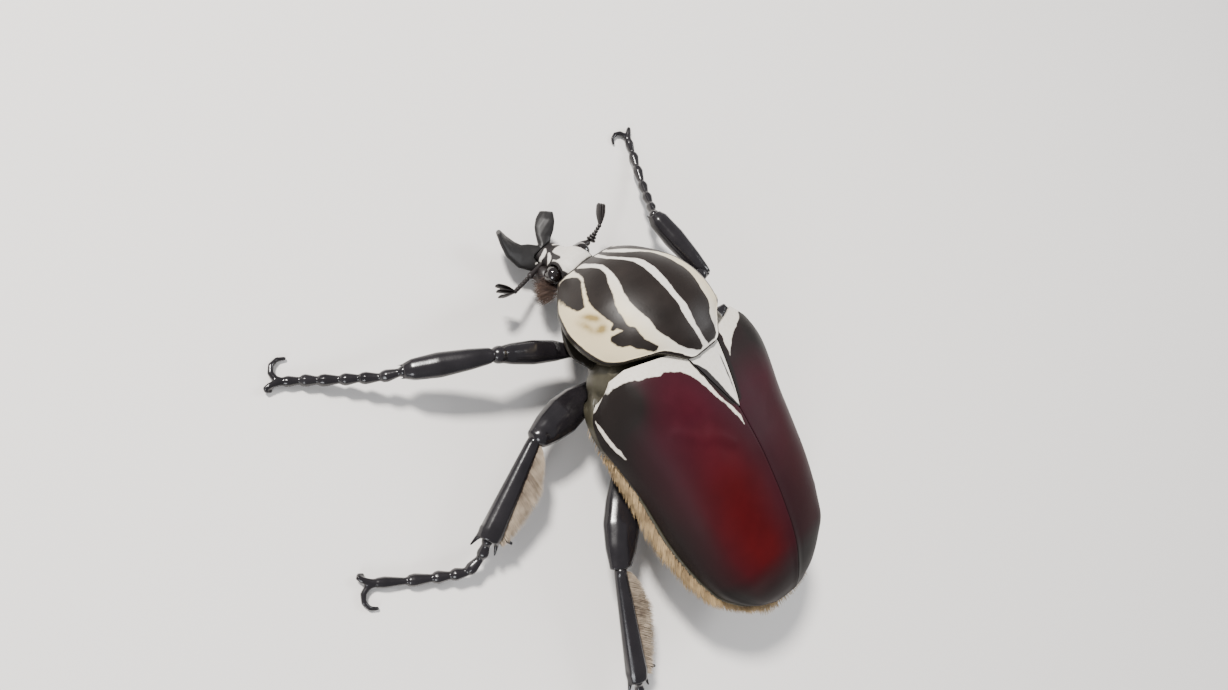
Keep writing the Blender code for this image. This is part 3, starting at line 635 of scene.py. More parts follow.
# %% Hair maker
HAIR_RNG = random.Random(7)
HAIR_RINGS = ((0.0, 1.0), (0.4, 0.85), (0.78, 0.5))
HAIR_CORNERS = (0.0, 2.094, 4.189)
HAIR_POINTS = 10
NEIGHBOURS = ((0, 1), (1, 2), (2, 0))
HAIR_FACES = [(0, 2, 1)]
HAIR_FACES += [(r + k, r + n, r + 3 + n, r + 3 + k) for r in (0, 3) for k, n in NEIGHBOURS]
HAIR_FACES += [(6 + k, 6 + n, 9) for k, n in NEIGHBOURS]
PATCH_RADIUS = 0.0015


def hair_piece(name, hairs, material):
    """Closed tapered hairs from (root, tip, sag, half width, place on the unwrap)."""
    verts, faces, spots = [], [], []
    for root, tip, sag, half, spot in hairs:
        root, tip, sag = np.array(root), np.array(tip), np.array(sag)
        way = tip - root
        way = way / (np.linalg.norm(way) + 1e-9)
        side = np.cross(way, (0.3, 0.2, 1.0))
        side = side / (np.linalg.norm(side) + 1e-9)
        rise = np.cross(side, way)
        base = len(verts)
        for t, size in HAIR_RINGS:
            centre = root + (tip - root) * t + sag * t * t
            for a in HAIR_CORNERS:
                verts.append(centre + (side * math.cos(a) + rise * math.sin(a)) * half * size)
                spots.append(spot)
        verts.append(tip + sag)
        spots.append(spot)
        faces += [tuple(base + k for k in face) for face in HAIR_FACES]
    mesh = bpy.data.meshes.new(name)
    mesh.from_pydata([tuple(p) for p in mm(verts)], [], faces)
    layer = mesh.uv_layers.new(name="OFBake")
    corner = np.zeros(len(mesh.loops), int)
    mesh.loops.foreach_get("vertex_index", corner)
    turn = (corner % HAIR_POINTS) * 0.6283
    uv = np.array(spots)[corner] + PATCH_RADIUS * np.stack([np.cos(turn), np.sin(turn)], 1)
    layer.data.foreach_set("uv", uv.ravel())
    tone = mesh.attributes.new("tone", "FLOAT", "POINT")
    per_hair = np.repeat([HAIR_RNG.random() for _ in hairs], HAIR_POINTS)
    height = np.tile([t for t, _ in HAIR_RINGS for _ in HAIR_CORNERS] + [1.0], len(hairs))
    tone.data.foreach_set("value", (0.35 * per_hair + 0.65 * height).astype(np.float32))
    finish_piece(new_object(name, mesh), material, "hair_tan")


def hair_material(name, dark, light):
    made, tree, _ = plain_material(name, {"Roughness": 0.55})
    place = tree.nodes.new("ShaderNodeTexCoord").outputs["Object"]
    patch = noise(tree, place, 350.0)
    patchy = maths(tree, "MULTIPLY_ADD", maths(tree, "SUBTRACT", patch, 0.5), 1.6, 0.1)
    amount = maths(tree, "ADD", patchy, maths(tree, "MULTIPLY", stored(tree, "tone"), 0.8), clamp=True)
    return coloured(made, blend(tree, amount, dark, light))


HAIR_TAN = hair_material("tan_hair", (0.060, 0.036, 0.022), (0.52, 0.42, 0.31))
# Dark brown hair for the throat: partly the real hair under the head, partly painted shade beneath it.
DARK_HAIR_AND_SHADE = hair_material("dark_hair_and_shade", (0.020, 0.012, 0.010), (0.12, 0.075, 0.055))
HAIR_PALE = hair_material("pale_hair", (0.085, 0.048, 0.020), (0.50, 0.35, 0.18))

# %% Shins
BAR_HALF, SPUR_LENGTH, SHIN_BALL = 1.8, 2.2, 1.3
BRUSHED_SHARES = (0.80, 0.86, 1.0, 1.04, 1.06, 1.0)
BARE_SHARES = (0.72, 0.84, 1.08, 1.10, 0.86, 0.62)
BRUSH_HAIRS = 3200
BRUSH_AT, BRUSH_REACHES = [0, 0.08, 0.28, 0.55, 0.8, 1.0], [0.8, 2.6, 4.6, 4.0, 2.8, 1.4]


def shin_piece(key, leg):
    knee = np.array(leg.knee)
    piece = copy_solids(f"tibia_{key}_shell", [f"tibia_{key}"])
    even_out(piece, voxel=0.20, rounds=2)
    forward, side, up = bar_frame(leg.knee, leg.ankle)
    length = np.linalg.norm(np.array(leg.ankle) - knee)
    points = own(get_points(piece))
    across = (points - knee) @ side
    # The locks of the solid are drawn back into the bar: the fine hair stands for them.
    beyond = np.sign(across) * np.clip(np.abs(across) - BAR_HALF, 0, None)
    along = (points - knee) @ forward
    keep = np.where((along > length - SPUR_LENGTH) & (leg.brush != 0), 1.0, 0.03)
    points = points - np.outer(beyond * (1 - keep), side)
    set_points(piece, points)
    shares = BRUSHED_SHARES if leg.brush else BARE_SHARES
    taper(piece, leg.knee, leg.ankle, [-1, 0, 0.25 * length, 0.6 * length, 0.9 * length, length],
          [share * leg.shin_stout for share in shares])
    add_ball(piece, knee + forward * 0.35, SHIN_BALL)
    even_out(piece, voxel=0.19, rounds=9)
    finish_piece(piece, LEG_BLACK, "glossy_black", f"tibia_{key}")
    if leg.brush:
        shin_brush(key, knee, forward, side * leg.brush, up, length)


def shin_brush(key, knee, forward, outward, up, length):
    hairs = []
    for _ in range(BRUSH_HAIRS):
        t = HAIR_RNG.uniform(0.02, 0.93)
        lift = HAIR_RNG.uniform(-0.8, 0.8)
        reach = float(np.interp(t, BRUSH_AT, BRUSH_REACHES)) * HAIR_RNG.uniform(0.55, 1.08)
        root = knee + forward * length * t + outward * 1.0 + up * lift
        tip = root + outward * (reach + 0.5) + forward * (0.5 * reach)
        tip = tip + up * (HAIR_RNG.uniform(-0.4, 0.4) - lift * 0.6)
        spot = (0.05 + 0.9 * t, 0.5 + 0.4 * lift)
        hairs.append((root, tip, forward * 0.5, HAIR_RNG.uniform(0.045, 0.08), spot))
    hair_piece(f"brush_{key}", hairs, HAIR_TAN)


for shin_key, shin_leg in LEGS.items():
    shin_piece(shin_key, shin_leg)

# %% [markdown]
# ## Prothorax
#
# The big domed shield is a reshaped ball: its rings become sections along the body and its
# halves roof and underside. Its black bands are outlines in the shield's own millimetres.

# %% Prothorax shape
PRO_LENGTH, PRO_HALF_WIDTH, PRO_HEIGHT = 28.5, 18.3, 16.2
PRO_REAR = np.array([0.0, 5.5, 16.5])
PRO_PITCH, PRO_YAW = 8.0, 5.0
PRO_WIDTH_AT = [0.0, 0.02, 0.08, 0.15, 0.25, 0.40, 0.50, 0.62, 0.75, 0.88, 1.0]
PRO_WIDTHS = [0.19, 0.33, 0.48, 0.63, 0.84, 0.95, 0.97, 0.93, 0.80, 0.62, 0.43]
PRO_RIM_AT = [0.0, 0.03, 0.10, 0.20, 0.35, 0.60, 1.0]
PRO_RIMS = [0.88, 0.80, 0.62, 0.40, 0.16, 0.0, 0.0]
PRO_TOP_AT = [0.0, 0.15, 0.30, 0.45, 0.60, 0.75, 0.90, 1.0]
PRO_TOPS = [0.90, 1.0, 1.02, 0.98, 0.90, 0.77, 0.57, 0.30]
EDGE_AT = [0.0, 0.07, 0.16, 0.20, 0.235, 0.28, 0.35, 0.50, 0.63, 0.72, 0.82, 1.0]
EDGE_SHARES = [0.75, 0.71, 0.72, 0.80, 0.86, 0.93, 0.955, 0.955, 0.97, 0.985, 0.998, 1.0]
BELLY_AT, BELLY_DEPTHS = [0.0, 0.1, 0.35, 0.8, 1.0], [0.0, 0.25, 1.0, 1.0, 0.75]
PRO_ROUNDNESS, BELLY_ROUNDNESS, BELLY_DEPTH = 2.15, 1.55, 5.6
BELLY_SHARE, LIP, FRONT_SPREAD = 0.985, 0.5, 1.25
RIDGE_HEIGHT, RIDGE_PLACE, RIDGE_WIDTH = 0.22, 0.5, 0.35


def pro_place(points):
    """Tips the shield forward, turns it and moves it to its place."""
    pitch, yaw = math.radians(PRO_PITCH), math.radians(PRO_YAW)
    tip = np.array([[1, 0, 0], [0, math.cos(pitch), math.sin(pitch)],
                    [0, -math.sin(pitch), math.cos(pitch)]])
    turn = np.array([[math.cos(yaw), -math.sin(yaw), 0],
                     [math.sin(yaw), math.cos(yaw), 0], [0, 0, 1]])
    pivot = np.array([0, 0, PRO_HEIGHT / 2])
    return (points - pivot) @ tip.T @ turn.T + pivot + PRO_REAR


def make_prothorax():
    around, along = 200, 96
    bpy.ops.mesh.primitive_uv_sphere_add(segments=around, ring_count=along, radius=1.0)
    obj, raw = just_added("prothorax_shield")
    reach = np.arccos(np.clip(raw[:, 2], -1, 1)) / math.pi
    t = np.clip((reach * along - 1) / (along - 2), 0, 1)
    pole = (reach < 0.5 / along) | (reach > 1 - 0.5 / along)
    t = t ** FRONT_SPREAD
    angle = np.arctan2(raw[:, 0], raw[:, 1])
    lower = np.abs(angle) > math.pi / 2 + 1e-6
    width = PRO_HALF_WIDTH * curve(PRO_WIDTH_AT, PRO_WIDTHS, t)
    rim = PRO_HEIGHT * curve(PRO_RIM_AT, PRO_RIMS, t)
    crest = PRO_HEIGHT * curve(PRO_TOP_AT, PRO_TOPS, t)
    # The roof ends at a sharp edge a little above the solid's lowest side, then tucks under.
    edge_angle = np.arcsin(curve(EDGE_AT, EDGE_SHARES, t) ** (PRO_ROUNDNESS / 2))
    share, rise = bend(angle * edge_angle / (math.pi / 2), PRO_ROUNDNESS)
    edge_share, edge_rise = bend(edge_angle, PRO_ROUNDNESS)
    edge_x, edge_z = width * edge_share, rim + (crest - rim) * edge_rise
    under, sink = bend(np.sign(angle) * (math.pi - np.abs(angle)), BELLY_ROUNDNESS)
    depth = BELLY_DEPTH * curve(BELLY_AT, BELLY_DEPTHS, t) + edge_z - rim
    x = np.where(lower, BELLY_SHARE * edge_x * under, width * share)
    y = PRO_LENGTH * t
    z = np.where(lower, edge_z - LIP - depth * sink, rim + (crest - rim) * rise)
    to_edge = np.hypot(edge_x - np.abs(x), z - edge_z)
    ridge = RIDGE_HEIGHT * np.exp(-((to_edge - RIDGE_PLACE) / RIDGE_WIDTH) ** 2)
    z = z + np.where(lower, 0.0, ridge)
    x = np.where(pole, 0.0, x)
    z = np.where(pole, (crest + rim) / 2 - LIP, z)
    local = np.stack([x, y, z], 1)
    set_points(obj, pro_place(local))
    clean_mesh(obj, merge=MERGE_DISTANCE, outward=True)
    return obj, local, to_edge, lower, t

# %% Prothorax markings
INNER_BLACK_LEFT = [
    (-3.7, 28.6), (-0.7, 28.6), (-1.3, 27), (-1.5, 26), (-0.9, 25), (-0.2, 24), (0.5, 23), (1.0, 22),
    (1.15, 20), (0.8, 18), (0.5, 16), (0.35, 14), (0.1, 12), (-0.2, 10), (-0.7, 8.5), (-0.9, 7), (-0.9, 5),
    (-0.75, 3), (-0.5, 0.9), (-1.2, 0.5), (-2.4, 1.0), (-3.7, 2.0), (-4.7, 3.0), (-5.4, 4.0), (-6.3, 6.0),
    (-7.1, 7.6), (-7.3, 9), (-7.1, 11), (-7.3, 13), (-7.35, 14.5), (-7.1, 16), (-6.5, 18), (-5.3, 20),
    (-4.4, 22), (-3.8, 24), (-3.45, 25), (-3.75, 27)]
INNER_BLACK_RIGHT = [
    (0.4, 28.6), (1.6, 28.6), (1.3, 27), (1.5, 26), (2.4, 25), (3.9, 24), (5.6, 23), (6.8, 22), (7.7, 21),
    (8.5, 19), (8.9, 17), (9.4, 15.6), (9.45, 14), (8.8, 12), (7.9, 10), (7.5, 8.6), (7.3, 7.2), (6.3, 6),
    (5.2, 5), (4.7, 4), (4.8, 2.8), (4.3, 1.2), (3.2, 0.6), (1.0, 0.6), (0.6, 1.4), (0.3, 3), (0.2, 5),
    (0.7, 7), (1.2, 9), (1.3, 11), (1.6, 13), (2.1, 15), (2.6, 17), (2.95, 19), (2.9, 21), (2.6, 22),
    (1.6, 23), (0.8, 24), (0.0, 25), (-0.6, 26), (-0.3, 27)]
OUTER_BLACK_LEFT = [
    (-5.5, 28.6), (-6.4, 27.6), (-7.2, 26), (-8, 25), (-9, 23.8), (-10.4, 22), (-11.3, 20.6), (-11.9, 19),
    (-12.1, 17), (-12.0, 14.4), (-12.9, 13.7), (-12.8, 13.3), (-12.1, 13.2), (-11.6, 12.1), (-12.4, 12.4),
    (-13.5, 12.8), (-14.0, 12), (-13.8, 10.6), (-13.2, 9.8), (-12.4, 9.3), (-11.8, 8.0), (-10.6, 6.6),
    (-9.5, 5.4), (-8.6, 5.9), (-9.1, 7), (-9.9, 8.5), (-9.95, 10), (-9.8, 11.5), (-10.5, 12.2), (-10.5, 13),
    (-10.1, 14), (-10.0, 15.2), (-9.3, 17), (-8.0, 19), (-6.8, 21), (-5.2, 23), (-4.5, 24.5), (-4.8, 26),
    (-5.2, 27.5)]
OUTER_BLACK_RIGHT = [
    (4.0, 28.3), (6.4, 27.6), (7.9, 26.2), (9.2, 25.0), (10.9, 23.4), (12.2, 21.8), (13.3, 20), (13.9, 18),
    (14.2, 16), (14.1, 14), (13.9, 12), (13.4, 10), (12.6, 8), (11.4, 6), (10.0, 4.4), (8.8, 3.4),
    (8.9, 4.2), (10.6, 6), (11.6, 8), (12.2, 10), (12.4, 12), (12.5, 14), (12.2, 16), (11.6, 18),
    (10.4, 20), (8.9, 21.4), (7.5, 22.4), (6.2, 23.5), (4.6, 25.0), (3.1, 26.6), (2.5, 28.0)]
CORNER_BLACK_LEFT = [
    (-7.5, 26.9), (-7.9, 25.7), (-8.3, 25.0), (-9.6, 23.6), (-10.6, 22.6), (-11.4, 21.4), (-12.3, 20.3),
    (-13.2, 20.5), (-13.1, 21.4), (-12.9, 22.3), (-12.1, 24.0), (-11.0, 25.6), (-9.6, 27.0), (-8.3, 28.1),
    (-7.8, 27.9)]
CORNER_BLACK_RIGHT = [(-x + 0.9, y - 0.2) for x, y in CORNER_BLACK_LEFT][::-1]

RIM_AT, RIM_BLACK = [0, 0.1, 0.3, 0.7, 0.85, 1.0], [0.35, 0.7, 0.65, 0.5, 0.3, 0.3]
# Thin dark bands along the shield's rear and front ends are painted shade, in the gaps to the wing cases
# and to the head.
REAR_SHADE_LINE, FRONT_SHADE_LINE = 0.25, 28.22
SMUDGES = [(1.6, (-13.2, 17.8), 0.6, 1.5, 20), (1.2, (-14.6, 17.0), 0.45, 1.5),
           (1.8, (-13.7, 14.9), 0.8, 0.8), (0.9, (13.9, 16.5), 1.0, 2.0),
           (0.35, (-14.0, 16.5), 2.2, 3.4)]

shield, shield_local, shield_edge, shield_lower, shield_t = make_prothorax()
sx, sy = shield_local[:, 0], shield_local[:, 1]
black = np.full(len(sx), FAR)
for outline in (INNER_BLACK_LEFT, INNER_BLACK_RIGHT, OUTER_BLACK_LEFT, OUTER_BLACK_RIGHT,
                CORNER_BLACK_LEFT, CORNER_BLACK_RIGHT):
    black = np.minimum(black, outline_distance(sx, sy, outline))
black = np.minimum(black, shield_edge - np.interp(shield_t, RIM_AT, RIM_BLACK))
# Painted shade: a thin dark band at the rear end, by the wing cases, and at the front end, by the head.
black = np.minimum(black, 4.0 * np.minimum(sy - REAR_SHADE_LINE, FRONT_SHADE_LINE - sy))
store(shield, "black", np.where(shield_lower, -1.0, black))
store(shield, "below", shield_lower.astype(float))
store(shield, "smudge", hills(sx, sy, SMUDGES))
cream = ramp(np.abs(sx), 4.0, 7.0) + hill(sx, sy, (-14, 15.5), 3.6, 6.5)
store(shield, "cream", np.clip(cream * 0.9, 0, 1))

# %% Finish: striped shell
def striped_shell():
    made, tree, place, wear = start_material("striped_shell", 0.40, 0.03, 1300.0, 180.0, 0.22)
    inside = bordered(tree, place, "black", 0.42, 0.22)
    fine = noise(tree, place, 2600.0, 2.0)
    white = blend(tree, stored(tree, "cream"), (0.66, 0.635, 0.59), (0.63, 0.53, 0.33))
    white = blend(tree, maths(tree, "MULTIPLY", fine, 0.22), white, (0.55, 0.46, 0.33))
    stain = maths(tree, "MULTIPLY", stored(tree, "smudge"),
                  maths(tree, "MULTIPLY_ADD", noise(tree, place, 500.0), 0.9, 0.15), clamp=True)
    white = blend(tree, stain, white, (0.24, 0.17, 0.06))
    dark = blend(tree, wear, (0.006, 0.0045, 0.004), (0.018, 0.013, 0.011))
    dark = blend(tree, stored(tree, "below"), dark, (0.038, 0.033, 0.022))
    return coloured(made, blend(tree, inside, white, dark))


smooth_shade(shield)
finish_piece(shield, striped_shell(), "striped_shell", "pronotum")

# %% Finish: chalk white with black marks
def white_and_black(name, black):
    made, tree, place, _ = start_material(name, 0.46, 0.02, 1500.0, 200.0, 0.3)
    inside = bordered(tree, place, "black", 0.25, 0.2)
    white = blend(tree, noise(tree, place, 1500.0), (0.67, 0.645, 0.605), (0.52, 0.48, 0.42))
    return coloured(made, blend(tree, inside, white, black))

# %% [markdown]
# ## Wing cases and scutellum
#
# The two wing cases are one smooth vault, split along the back, each a fine grid bent over
# it and given a thickness. They are velvety maroon, white at the base, darker at the edges.

# %% The vault
CASE_FRONT, CASE_LENGTH, CASE_HALF_WIDTH, CASE_HEIGHT = 8.0, 54.0, 22.3, 14.6
CASE_EDGE_Z, CASE_EDGE_RISE, CASE_ROUNDNESS, SHOULDER = 16.4, 1.0, 2.2, 2.7
CASE_AT = [0.0, 0.06, 0.14, 0.25, 0.40, 0.55, 0.70, 0.82, 0.90, 0.96, 1.0]
CASE_WIDTHS = [0.86, 0.965, 1.0, 0.955, 0.90, 0.885, 0.825, 0.73, 0.59, 0.42, 0.22]
CASE_HIGH_AT = [0.0, 0.10, 0.25, 0.40, 0.55, 0.70, 0.80, 0.90, 0.96, 1.0]
CASE_HEIGHTS = [0.93, 0.97, 1.0, 0.985, 0.91, 0.78, 0.65, 0.44, 0.27, 0.11]
SCUT_BASE, SCUT_TIP, SCUT_HALF, SCUT_CURVE = 7.6, -6.4, 4.6, 0.85
# The right side of the vault is a little wider in front and narrower behind than the left.
TUCK_AT, TUCKS = [0, 0.2, 0.35, 0.6, 1], [-0.06, -0.06, 0, 0.08, 0.08]
BULGE_AT, BULGES = [0, 0.15, 0.5, 0.8, 0.92, 1.0], [0, 0, 0.55, 1, 0.75, -0.3]


def vault(s, share):
    """Point of the vault at length share s and signed side share."""
    tuck = 1 - np.maximum(share, 0) ** 2 * curve(TUCK_AT, TUCKS, s)
    width = CASE_HALF_WIDTH * curve(CASE_AT, CASE_WIDTHS, s) * tuck
    rise = CASE_HEIGHT * curve(CASE_HIGH_AT, CASE_HEIGHTS, s)
    angle = np.arcsin(np.clip(np.abs(share), 0, 1) ** (CASE_ROUNDNESS / 2))
    up = bend(angle, CASE_ROUNDNESS)[1]
    front = CASE_FRONT + SHOULDER * np.interp(np.abs(share), BULGE_AT, BULGES)
    y = front + (CASE_FRONT - CASE_LENGTH - front) * s
    return np.stack([share * width, y, CASE_EDGE_Z + CASE_EDGE_RISE * s + rise * up], -1)


def scutellum_half(y):
    return SCUT_HALF * ramp(y, SCUT_TIP, SCUT_BASE - SCUT_TIP) ** SCUT_CURVE


CREASE = [(14.2, -4.2, 0.05), (12.2, -5.6, 0.1), (11.2, -6.6, 0.15), (10.0, -7.8, 0.15),
          (8.4, -8.1, 0.1), (6.9, -9.3, 0.1), (5.6, -11.0, 0.0)]
CREASE_RISE, CREASE_WIDTH = 0.24, 1.05
SWELLS = [(0.35, (16.5, 4.0), 2.6, 3.6), (0.5, (11.5, -37.0), 3.0, 3.0)]
DENTS = [(-0.50, (9.0, -4.4), 2.4, 2.6), (-0.30, (6.8, -12.0), 1.8, 2.6),
         (-0.20, (13.6, -1.5), 1.4, 2.4)]
RIGHT_DENTED = 0.12
SEAM_HALF, SEAM_SPREAD = 0.10, 1.03
RIM_RISE, RIM_SHARE, RIM_SPREAD = 0.28, 0.985, 0.02
SEAM_RISE, SEAM_WIDTH = 0.22, 0.9


def wing_case(name, sign):
    across, along = 90, 170
    bpy.ops.mesh.primitive_grid_add(x_subdivisions=across, y_subdivisions=along, size=2.0)
    obj, raw = just_added(name)
    a, s = (raw[:, 0] + 1) / 2, (1 - raw[:, 1]) / 2
    width = CASE_HALF_WIDTH * curve(CASE_AT, CASE_WIDTHS, s)
    seam = SEAM_HALF + scutellum_half(CASE_FRONT - CASE_LENGTH * s) * SEAM_SPREAD
    start = np.arcsin(np.clip(seam / width, 0, 1) ** (CASE_ROUNDNESS / 2))
    angle = start + (math.pi / 2 - start) * a
    share = bend(angle, CASE_ROUNDNESS)[0] * sign
    points = vault(s, share)
    x, y = points[:, 0], points[:, 1]
    crease = np.exp(-(stripe_distance(x * sign, y, CREASE) / CREASE_WIDTH) ** 2)
    rim = RIM_RISE * np.exp(-((np.abs(share) - RIM_SHARE) / RIM_SPREAD) ** 2)
    ridge = SEAM_RISE * np.exp(-(x / SEAM_WIDTH) ** 2) * ramp(s, 0.3, 0.5)
    swell = hills(x * sign, y, SWELLS) + rim + ridge
    # The left case of this animal is dented behind its shoulder; the right one is hardly so.
    dent = hills(x * sign, y, DENTS, start=CREASE_RISE * crease)
    swell = swell + dent * (1.0 if sign < 0 else RIGHT_DENTED)
    normal_z = np.sqrt(np.clip(1 - np.abs(share) ** 2, 0.05, 1))
    points[:, 2] += swell * normal_z
    points[:, 0] += swell * (1 - normal_z) * sign
    set_points(obj, points)
    clean_mesh(obj, merge=MERGE_DISTANCE, outward=True)
    if sum(p.normal.z for p in obj.data.polygons) < 0:
        clean_mesh(obj, flip=True)
    return obj

# %% Wing case markings
BASE_WHITE_LEFT = [
    (-23, 12), (-20.4, 7.0), (-19.2, 8.0), (-18.2, 8.7), (-16.8, 8.65), (-15.2, 8.2), (-14.8, 7.6),
    (-13.6, 7.6), (-12, 6.95), (-11.2, 6.6), (-10.2, 6.8), (-9, 6.2), (-7.5, 5.4), (-6.6, 4.5), (-5.8, 3.3),
    (-5.1, 2.0), (-4.5, 0.5), (-4.0, -1), (-3.4, -2.7), (-2.6, -4.4), (-2.1, -6), (-1.5, -7.5),
    (-1.0, -9.6), (-0.8, -7.5), (-1.5, -5.6), (-2.5, -3.6), (-3.1, -1.6), (-3.4, 0.4), (-3.8, 2.4),
    (-4.2, 4.2), (-4.6, 6.2), (-4.0, 12)]
BASE_WHITE_RIGHT = [
    (22, 12), (20.5, 8.2), (18.2, 8.8), (16.6, 8.9), (15.2, 8.0), (13.2, 7.3), (11.2, 6.7), (9.6, 6.2),
    (8.2, 5.4), (6.6, 4.4), (5.5, 3.4), (4.7, 2.6), (5.2, 4.0), (5.4, 5.4), (6.0, 6.4), (6, 12)]
SIDE_DASH = [(4.6, 17.6, 0.1), (3.4, 18.3, 0.4), (2.1, 19.0, 0.5), (-0.2, 19.7, 0.5),
             (-2.4, 20.1, 0.42), (-4.2, 20.3, 0.1)]
SIDE_CORNER = [(10.0, 22.0, 0.5), (8.6, 19.8, 0.6), (7.4, 18.2, 0.6), (6.6, 17.2, 0.4),
               (6.0, 16.4, 0.1)]
RED_PATCHES = [(1.0, (9.0, -24), 7.0, 17), (0.85, (10, -1), 5.5, 9), (0.4, (6, -34), 5, 6)]
RIGHT_RED = 0.30
DARK_EDGE_AT, DARK_EDGE_FROM = [-45, -30, -10, 0, 8], [9, 14, 16.5, 16.5, 14.0]


def paint_case(obj, sign):
    points = own(get_points(obj))
    x, y, z = points.T
    white = outline_distance(x, y, BASE_WHITE_LEFT if sign < 0 else BASE_WHITE_RIGHT)
    dash = np.minimum(stripe_distance(y, z, SIDE_DASH), stripe_distance(y, z, SIDE_CORNER))
    white = np.minimum(white, np.where(np.abs(x) > 17, dash, 9.0))
    store(obj, "white", white)
    red = hills(x * sign, y, RED_PATCHES)
    store(obj, "red", np.clip(red if sign < 0 else red * RIGHT_RED, 0, 1))
    store(obj, "rear", ramp(-y, 4, 14))
    limit = np.interp(y, DARK_EDGE_AT, DARK_EDGE_FROM)
    edge = ramp(np.abs(x), limit, 5.0) + ramp(-y, 35, 7.0) * 0.85
    edge = edge + 0.9 * hill(x, y, (sign * 18, 5.0), 3.2, 5.0)
    if sign > 0:
        edge = edge + 0.85 * ramp(y, -4.0, 7.0) + 0.5 * ramp(-y, 14, 18.0)
    seam_gap = np.abs(x) - scutellum_half(np.minimum(y, SCUT_BASE))
    edge = edge + ramp(-seam_gap, -1.05, 0.15) * ramp(y, -5.5, 0.4)
    store(obj, "grey", np.clip(edge, 0, 1))


def velvet_shell():
    made, tree, place, wear = start_material("maroon_velvet", 0.46, 0.018, 2400.0, 90.0, 0.06)
    plum = blend(tree, wear, (0.014, 0.005, 0.007), (0.036, 0.010, 0.015))
    wine = blend(tree, noise(tree, place, 140.0), (0.024, 0.003, 0.006), (0.060, 0.008, 0.015))
    red = blend(tree, noise(tree, place, 110.0), (0.030, 0.002, 0.003), (0.074, 0.005, 0.006))
    red = blend(tree, stored(tree, "rear"), wine, red)
    body = blend(tree, stored(tree, "red"), plum, red)
    body = blend(tree, stored(tree, "grey"), body, (0.012, 0.0095, 0.009))
    inside = bordered(tree, place, "white", 0.5, 0.2)
    chalk = blend(tree, noise(tree, place, 1800.0), (0.71, 0.68, 0.63), (0.56, 0.50, 0.41))
    return coloured(made, blend(tree, inside, body, chalk))


VELVET = velvet_shell()
EDGE_ROUND = 0.22

for side, sign in (("left", -1), ("right", 1)):
    case = wing_case(f"wing_case_{side}", sign)
    paint_case(case, sign)
    thicken(case)
    round_edge = case.modifiers.new("edge", "BEVEL")
    round_edge.width = EDGE_ROUND * MM
    round_edge.segments = 3
    round_edge.limit_method = "ANGLE"
    round_edge.angle_limit = math.radians(50)
    apply_modifiers(case)
    smooth_shade(case)
    finish_piece(case, VELVET, "maroon_velvet", f"elytron_{side}")

# %% Scutellum
BAND_AT, BANDS = [-7, -4, 0, 3.0, 4.6, 5.4, 8], [0.15, 0.45, 0.9, 1.0, 0.45, -0.1, -0.3]
LINE_AT, LINE_HALF = [-5, -2, 0, 3.5, 4.5], [-0.1, 0.14, 0.2, 0.16, -0.1]
LINE_INSET_AT, LINE_INSETS = [-5, 0, 6], [0.25, 0.7, 1.2]
PLATE_GAP, TIP_GAP, PLATE_CROWN = 0.05, 0.3, 0.15


def make_scutellum():
    bpy.ops.mesh.primitive_grid_add(x_subdivisions=28, y_subdivisions=70, size=2.0)
    obj, raw = just_added("scutellum_plate")
    t = (1 - raw[:, 1]) / 2
    y = SCUT_BASE + (SCUT_TIP + TIP_GAP - SCUT_BASE) * t
    s = (CASE_FRONT - y) / CASE_LENGTH
    half = np.maximum(scutellum_half(y) - PLATE_GAP, 0.2)
    width = CASE_HALF_WIDTH * curve(CASE_AT, CASE_WIDTHS, s)
    x = raw[:, 0] * half
    points = vault(s, x / width)
    points[:, 1] = y
    points[:, 2] += PLATE_CROWN * (1 - raw[:, 0] ** 2)
    set_points(obj, points)
    left_edge = x + half - np.interp(y, BAND_AT, BANDS)
    line_middle = half - np.interp(y, LINE_INSET_AT, LINE_INSETS)
    right_line = np.abs(x - line_middle) - np.interp(y, LINE_AT, LINE_HALF)
    store(obj, "black", np.minimum(left_edge, right_line))
    thicken(obj)
    apply_modifiers(obj)
    smooth_shade(obj, 50)
    return obj


DARK_BROWN = (0.012, 0.010, 0.010)
finish_piece(make_scutellum(), white_and_black("scutellum_white", DARK_BROWN), "cream_white", "scutellum")

# %% [markdown]
# ## Head and eyes
#
# The head is a small chalk-white wedge with dark borders: a smoothed copy of its solid,
# painted the same way as the shield. Each eye is a glossy dark ball.

# %% Head
NECK = np.array([-2.9, 32.7, 9.6])
FACE = np.array([-4.5, 39.8, 4.9])
head_forward, head_side, head_up = bar_frame(NECK, FACE)
FOREHEAD = [(-0.6, 6.0), (0.5, 6.25), (2.4, 6.2), (2.8, 3.8), (3.2, 1.8), (3.6, 0.4), (3.4, -1.5),
            (-3.6, -1.5), (-4.0, 1.2), (-3.6, 2.6), (-3.0, 4.1), (-2.6, 4.2), (-2.75, 3.2),
            (-2.1, 2.6), (-1.6, 3.0), (-1.2, 4.4)]
SNOUT_STRIPES = [
    [(-0.6, 7.9, 0.2), (-1.4, 7.4, 0.4), (-2.3, 7.1, 0.42), (-3.1, 7.3, 0.35), (-3.9, 7.6, 0.2)],
    [(-1.3, 6.3, 0.2), (-2.0, 5.6, 0.35), (-2.7, 5.1, 0.35), (-3.5, 4.8, 0.2)],
    [(1.6, 7.6, 0.2), (2.4, 7.2, 0.4), (3.2, 7.4, 0.3)]]
HORN_DARK = (0.011, 0.010, 0.010)
LOW_AT, LOW_EDGE = [0, 3, 6, 8], [1.6, 1.2, 0.4, -0.4]
SOCKET, SOCKET_RADIUS = (4.7, 2.4, 0.6), 2.9


